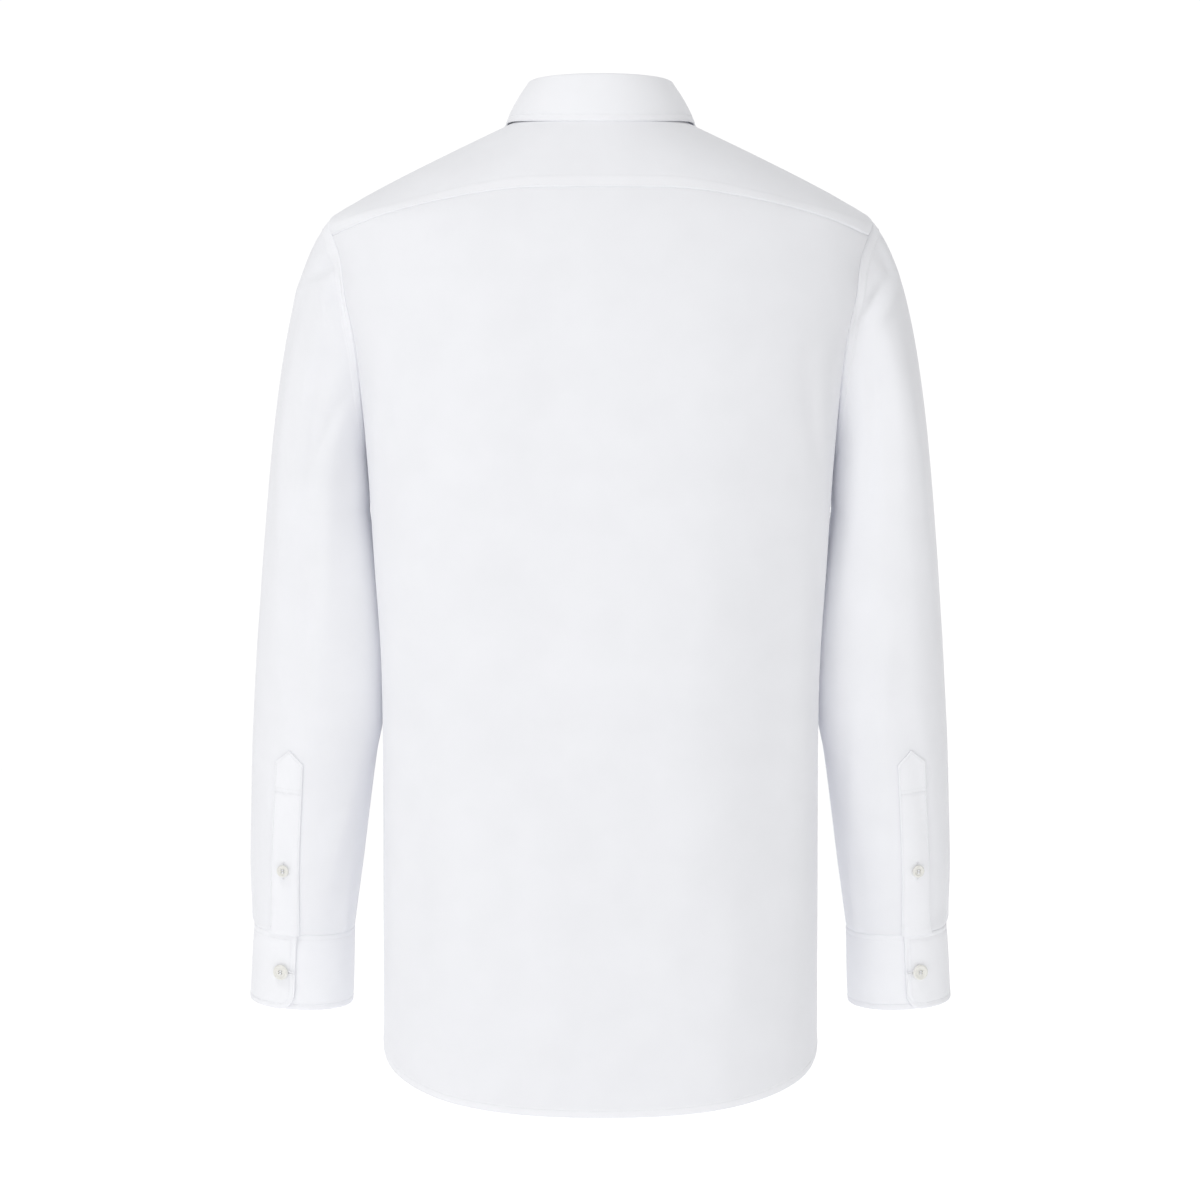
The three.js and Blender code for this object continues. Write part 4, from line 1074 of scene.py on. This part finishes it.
def through(points, count):
    """Rows of a smooth surface through a few rows of points, evenly spaced down the surface."""
    dense = []
    last = len(points) - 1
    for k in range(last):
        before = points[max(k - 1, 0)]
        after = points[min(k + 2, last)]
        a, b = points[k], points[k + 1]
        for t in np.linspace(0, 1, 13)[:-1]:
            dense.append(curve(a, b, (b - before) / 2, (after - a) / 2, t))
    dense = np.array([*dense, points[-1]])
    lengths = np.linalg.norm(np.diff(dense, axis=0), axis=-1).mean(1)
    places = np.concatenate([[0], np.cumsum(lengths)]) / lengths.sum()
    wanted = shares(count, (0.01, 0.02, 0.035))
    made = np.empty((len(wanted), *dense.shape[1:]))
    for i in range(dense.shape[1]):
        for axis in range(3):
            made[:, i, axis] = np.interp(wanted, places, dense[:, i, axis])
    return made


def make_fall():
    share = towards_ends(180)
    angle = share * FALL_FOLD_ANGLE
    out = out_from_neck(angle)
    steep = mix(1, 1.5, smooth(np.abs(angle), 95, 130))
    lines = []
    for away_by, up in FALL_BEND:
        rise = up * steep if up > 0 else up * np.ones_like(steep)
        lines.append(fold_point(angle) + out * away_by + vector(0, 0, rise))
    last = lines[-1]
    edge = fall_edge(share)
    for t in (0.25, 0.5, 0.75, 1.0):
        lines.append(last + (edge - last) * t + out * (0.006 * t * (1 - t)))
    base = through(np.array(lines), 44)
    normals = grid_normals(base, out)
    away = edge_distances(base)
    front = np.minimum(away["near"], away["far"])
    relief = rolled(np.minimum(away["high"], front), 0.0006, 0.0018)
    front = front + 10 * (away["low"] < 0.004)
    relief = relief + groove(np.minimum(away["high"], front), COLLAR_STITCH, 0.0003, 0.001)
    relief = relief + pucker(away["near"], away["high"], COLLAR_STITCH, 0.00018, 0.012)
    outer = base + normals * relief[..., None]
    inner = base - normals * COLLAR_CLOTH
    made = shell("collar_fall_cloth", outer, inner, "firm_shirting")
    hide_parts("collar_fall")
    inside = slice(9, -9)
    sew(line_at(outer[:, inside], away["high"][:, inside], COLLAR_STITCH))
    for side_edge in ("near", "far"):
        sew(line_at(outer[5:-4], away[side_edge][5:-4], COLLAR_STITCH, along_rows=False))


# Placket
def placket_point(x, z, out):
    angle = front_angle_at_x(x, z)
    return trunk_point(angle, z) + trunk_normal(angle, z) * np.asarray(out)[..., None]


def make_placket():
    x = np.linspace(-1, 1, 33) * PLACKET_WIDTH / 2
    top = np.array([float(neckline(neck_angle_at_x(value))) for value in x]) - SEAM
    z = mix(FRONT_TAIL_Z, top[None], PANEL_ROWS[:, None])
    across = np.broadcast_to(x, z.shape)
    edge = PLACKET_WIDTH / 2 - np.abs(across)
    relief = groove(edge, PLACKET_STITCH, 0.00025) + rolled(edge, 0.0005, 0.001)
    relief = relief + pucker(z, edge, PLACKET_STITCH, 0.00018)
    outer = placket_point(across, z, PLACKET_LIFT + STRIP_CLOTH + relief)
    inner = placket_point(across, z, np.full(z.shape, PLACKET_LIFT))
    made = shell("placket_cloth", outer, inner, "shirting")
    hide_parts("front_placket")
    for side in (-1, 1):
        line_x = np.full(300, side * (PLACKET_WIDTH / 2 - PLACKET_STITCH))
        line_z = np.linspace(FRONT_TAIL_Z + 0.001, NECK_FRONT_Z - 0.004, 300)
        sew(placket_point(line_x, line_z, np.full(300, PLACKET_LIFT + STRIP_CLOTH)))


# Buttons, with four holes and two bars of thread over them
def button_mesh(diameter):
    """A button with a raised rim and four holes, standing along Z."""
    mesh = bmesh.new()
    rings = []
    for across, up in BUTTON_PROFILE:
        ring = []
        radius = across * diameter / 2
        for t in ring_turns(BUTTON_SIDES):
            ring.append(mesh.verts.new((radius * math.cos(t), radius * math.sin(t), up * BUTTON_HEIGHT)))
        rings.append(ring)
    for low, high in zip(rings, rings[1:]):
        for k in range(BUTTON_SIDES):
            following = (k + 1) % BUTTON_SIDES
            mesh.faces.new((low[k], low[following], high[following], high[k]))
    mesh.faces.new(rings[0][::-1])
    mesh.faces.new(rings[-1])
    solid = bpy.data.meshes.new("button_solid")
    mesh.to_mesh(solid)
    mesh.free()
    drills = bmesh.new()
    for k in range(4):
        t = math.radians(45 + 90 * k)
        made = bmesh.ops.create_cone(drills, segments=16, cap_ends=True, depth=BUTTON_HEIGHT * 3,
                                     radius1=HOLE_RADIUS, radius2=HOLE_RADIUS)
        bmesh.ops.translate(drills, verts=made["verts"],
                            vec=(HOLE_PLACE * math.cos(t), HOLE_PLACE * math.sin(t), BUTTON_HEIGHT / 2))
    cutter = bpy.data.meshes.new("button_drills")
    drills.to_mesh(cutter)
    drills.free()
    holder = bpy.data.objects.new("button_holder", solid)
    drill_object = bpy.data.objects.new("button_drill_object", cutter)
    for made in (holder, drill_object):
        bpy.context.scene.collection.objects.link(made)
    cut = holder.modifiers.new("holes", "BOOLEAN")
    cut.operation = "DIFFERENCE"
    cut.object = drill_object
    cut.solver = "EXACT"
    seen = holder.evaluated_get(bpy.context.evaluated_depsgraph_get())
    drilled = bpy.data.meshes.new_from_object(seen)
    bpy.data.objects.remove(holder)
    bpy.data.objects.remove(drill_object)
    return drilled


def thread_mesh():
    """Two bars of thread over the holes of a button, standing along Z."""
    vertices, faces = [], []
    sides, radius = 8, 0.00034
    for side in (-1, 1):
        for strand in (-0.0003, 0.0003):
            start = len(vertices)
            reach = HOLE_PLACE * math.cos(math.radians(45))
            for t in np.linspace(-1, 1, 11):
                high = BUTTON_HEIGHT * 0.70 + 0.0005 * (1 - abs(t) ** 3) - 0.0012 * abs(t) ** 8
                for a in ring_turns(sides):
                    vertices.append((t * (reach + 0.0002), side * reach + strand + radius * math.cos(a),
                                     high + radius * math.sin(a)))
            join_rings(faces, start, 11, sides)
    return vertices, faces


DRILLED = {}


def facing(point, normal):
    """Matrix that stands something along Z on a point, facing a direction, with X kept level."""
    up = Vector(normal).normalized()
    level = Vector((0, 0, 1)).cross(up).normalized()
    turn = up.cross(level)
    rows = [(level[k], turn[k], up[k], point[k]) for k in range(3)]
    return np.array([*rows, (0, 0, 0, 1)])


def make_button(name, diameter, point, normal):
    normal = unit(np.asarray(normal, float))
    place = facing(np.asarray(point) + normal * SEAM, normal)
    if diameter not in DRILLED:
        DRILLED[diameter] = button_mesh(diameter)
    source = DRILLED[diameter]
    turned = [place @ np.array([*v.co, 1]) for v in source.vertices]
    made = mesh_object(f"{name}_disc", [v[:3] for v in turned],
                       [tuple(p.vertices) for p in source.polygons], "button", smooth_angle=35)
    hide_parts(name)
    vertices, faces = thread_mesh()
    threads = [(place @ np.array([*v, 1]))[:3] for v in vertices]
    mesh_object(f"{name}_thread", threads, faces, "thread")


def buttonhole(name, middle, along, normal, length):
    """A worked buttonhole: an oval of close stitches round a narrow slit."""
    middle, along, normal = np.asarray(middle), unit(np.asarray(along)), unit(np.asarray(normal))
    side = np.cross(normal, along)
    vertices, faces = [], []
    steps, sides = 120, 6
    for j in range(steps):
        t = 2 * math.pi * j / steps
        where = middle + along * math.cos(t) * length / 2 + side * signed_power(math.sin(t), 0.45) * 0.0009
        outward = unit(along * math.cos(t) * 0.4 + side * math.sin(t))
        girth = 0.00055 * (1.12 if j % 2 else 0.88)
        for a in ring_turns(sides):
            vertices.append(where + (outward * math.cos(a) * 1.3 + normal * math.sin(a) * 0.8) * girth)
    join_rings(faces, 0, steps, sides, closed=True)
    mesh_object(name, vertices, faces, "thread")


def spot_on(point_at, turn):
    """Point of a sleeve's surface at a turn, its outward direction, and the ways down and round from it."""
    around = point_at(turn + 4, 0) - point_at(turn - 4, 0)
    down = point_at(turn, 0.004) - point_at(turn, -0.004)
    return point_at(turn, 0), unit(np.cross(down, around)), unit(down), unit(around)


def make_buttons():
    surface = PLACKET_LIFT + STRIP_CLOTH
    for i in range(FRONT_BUTTONS):
        z = np.float64(FIRST_BUTTON_Z - i * BUTTON_PITCH)
        normal = trunk_normal(180.0, z)
        point = placket_point(np.float64(0.0), z, surface)
        make_button(f"button_front_{i + 1}", FRONT_BUTTON, point, normal)
        buttonhole(f"buttonhole_front_{i + 1}", point, (0, 0, 1), normal, BUTTONHOLE)
    low = trunk_point(180.0, neckline(180.0))
    high = fold_point(180.0)
    middle = (low + high) / 2 + np.array([0, 0, STAND_LIFT / 2])
    forward = unit(np.cross([1, 0, 0], high - low))
    make_button("button_collar", FRONT_BUTTON, middle + forward * SEAM, forward)
    buttonhole("buttonhole_collar", middle, (1, 0, 0), forward, BUTTONHOLE)
    turn, z = (float(value) for value in gauntlet_spot(GAUNTLET_BUTTON_UP, 0.0))
    strip = SEAM + STRIP_CLOTH
    half_down = CUFF_HEIGHT / 2
    for word, side in SIDES:
        spot = spot_on(lambda angle, low_by: arm_point(side, angle, z - low_by, strip), turn)
        point, normal, down, _ = (on_side(side, value) for value in spot)
        make_button(f"button_gauntlet_{word}", GAUNTLET_BUTTON, point + normal * BUTTON_SHANK, normal)
        buttonhole(f"buttonhole_gauntlet_{word}", point, down, normal, GAUNTLET_BUTTONHOLE)
        spot = spot_on(lambda angle, low_by: cuff_point(angle, half_down + low_by), turn)
        point, normal, _, around = (on_side(side, value) for value in spot)
        make_button(f"button_cuff_{word}", CUFF_BUTTON, point + normal * BUTTON_SHANK, normal)
        buttonhole(f"buttonhole_cuff_{word}", point + around * 0.003, around, normal, CUFF_BUTTONHOLE)


def cloth_material(name, bump_strength, roughness):
    """Fine plain weave, a little slub and a faint sheen. Doubled cloth is slightly lighter."""
    tree, shader = new_material(name)
    place = object_place(tree)
    layers = add_node(tree, "ShaderNodeAttribute", {}, attribute_name="doubled")
    sockets = {0: layers.outputs["Fac"], 6: CLOTH_COLOUR, 7: DOUBLE_COLOUR}
    colour = add_node(tree, "ShaderNodeMix", sockets, data_type="RGBA")
    mottle = add_node(tree, "ShaderNodeTexNoise", {"Vector": place, "Scale": 26, "Detail": 4})
    sockets = {"Value": mottle.outputs["Fac"], "To Min": 0.965, "To Max": 1.025}
    level = add_node(tree, "ShaderNodeMapRange", sockets)
    sockets = {0: colour.outputs[2], "Scale": level.outputs["Result"]}
    shade = add_node(tree, "ShaderNodeVectorMath", sockets, operation="SCALE")
    tree.links.new(shade.outputs["Vector"], shader.inputs["Base Color"])
    waves = []
    for direction in ((1, 0.62, 0), (0, 0, 1)):
        turned = add_node(tree, "ShaderNodeVectorMath", {0: place, 1: direction}, operation="DOT_PRODUCT")
        wave = math_node(tree, "MULTIPLY", turned.outputs["Value"], THREADS_PER_METRE * 2 * math.pi)
        waves.append(math_node(tree, "SINE", wave))
    weave = math_node(tree, "MULTIPLY", *waves)
    slub = add_node(tree, "ShaderNodeTexNoise", {"Vector": place, "Scale": 420, "Detail": 3})
    height = math_node(tree, "MULTIPLY_ADD", weave, 0.35, slub.outputs["Fac"])
    add_bump(tree, shader, height, bump_strength, 0.0002)
    shader.inputs["Roughness"].default_value = roughness
    shader.inputs["Specular IOR Level"].default_value = 0.25
    shader.inputs["Sheen Weight"].default_value = 0.12
    shader.inputs["Sheen Roughness"].default_value = 0.5


def thread_material():
    tree, shader = new_material("thread")
    twist = add_node(tree, "ShaderNodeTexNoise", {"Vector": object_place(tree), "Scale": 2400})
    add_bump(tree, shader, twist.outputs["Fac"], 0.3, 0.0001)
    shader.inputs["Base Color"].default_value = THREAD_COLOUR
    shader.inputs["Roughness"].default_value = 0.55
    shader.inputs["Sheen Weight"].default_value = 0.1


def button_material():
    """Pearly resin: soft cloudy streaks under a smooth gloss."""
    tree, shader = new_material("button")
    sockets = {"Vector": object_place(tree), "Scale": 190, "Detail": 5, "Distortion": 1.2}
    cloud = add_node(tree, "ShaderNodeTexNoise", sockets)
    sockets = {0: cloud.outputs["Fac"], 6: BUTTON_DARK, 7: BUTTON_COLOUR}
    colour = add_node(tree, "ShaderNodeMix", sockets, data_type="RGBA")
    tree.links.new(colour.outputs[2], shader.inputs["Base Color"])
    shader.inputs["Roughness"].default_value = 0.28
    shader.inputs["Coat Weight"].default_value = 0.4
    shader.inputs["Coat Roughness"].default_value = 0.12


def backdrop_material():
    _, shader = new_material("backdrop")
    shader.inputs["Base Color"].default_value = FLOOR_COLOUR
    shader.inputs["Roughness"].default_value = 0.9
    shader.inputs["Emission Color"].default_value = (1, 1, 1, 1)
    shader.inputs["Emission Strength"].default_value = FLOOR_GLOW


cloth_material("shirting", 0.25, 0.82)
cloth_material("firm_shirting", 0.22, 0.8)
thread_material()
button_material()
backdrop_material()

make_back()
make_yoke()
make_front("front_left_cloth", "front_left", 1, PLACKET_WIDTH / 2 + SEAM)
make_front("front_right_cloth", "front_right", -1, -UNDERLAP)
for word, side in SIDES:
    make_sleeve(word, side)
    make_gauntlet(word, side)
    make_cuff(word, side)
make_stand()
make_fall()
make_placket()
make_buttons()
make_stitches()


def make_floor():
    count = 96
    turn = np.linspace(0, 2 * np.pi, count, endpoint=False)
    edge = vector(FLOOR_RADIUS * np.cos(turn), FLOOR_RADIUS * np.sin(turn), FLOOR_Z)
    data = bpy.data.meshes.new("floor")
    data.from_pydata(edge.tolist(), [], [list(range(count))])
    data.materials.append(MATERIALS["backdrop"])
    floor = bpy.data.objects.new("floor", data)
    bpy.context.scene.collection.objects.link(floor)


def area_light(name, place, target, size, power):
    data = bpy.data.lights.new(name, "AREA")
    data.shape = "DISK"
    data.size = size
    data.energy = power
    light = bpy.data.objects.new(name, data)
    light.location = place
    light.rotation_euler = (Vector(target) - Vector(place)).to_track_quat("-Z", "Y").to_euler()
    bpy.context.scene.collection.objects.link(light)


def studio_world():
    """White where the camera looks, dimmer to the sides and a little brighter on the wearer's left."""
    world = bpy.data.worlds.new("studio")
    world.use_nodes = True
    tree = world.node_tree
    place = add_node(tree, "ShaderNodeTexCoord", {})
    parts = add_node(tree, "ShaderNodeSeparateXYZ", {"Vector": place.outputs["Generated"]})
    depth = math_node(tree, "ABSOLUTE", parts.outputs["Y"])
    sockets = {"Value": depth, "From Min": 0.15, "From Max": 0.9, "To Min": WORLD_SIDE, "To Max": WORLD_FRONT}
    level = add_node(tree, "ShaderNodeMapRange", sockets, interpolation_type="SMOOTHSTEP")
    lean = math_node(tree, "MULTIPLY_ADD", parts.outputs["X"], WORLD_LEAN, level.outputs["Result"])
    sockets = {"Value": parts.outputs["Y"], "From Min": -0.6, "From Max": -0.9, "To Max": WORLD_BEHIND}
    behind = add_node(tree, "ShaderNodeMapRange", sockets)
    brighter = math_node(tree, "MAXIMUM", lean, behind.outputs["Result"])
    background = tree.nodes["Background"]
    tree.links.new(brighter, background.inputs["Strength"])
    background.inputs["Color"].default_value = (1, 1, 1, 1)
    bpy.context.scene.world = world


make_floor()
area_light("key", *KEY_LIGHT)
area_light("front_fill", *FRONT_FILL)
studio_world()
bpy.context.scene.view_settings.view_transform = "Standard"
bpy.context.scene.cycles.max_bounces = 16
bpy.context.scene.cycles.diffuse_bounces = 14
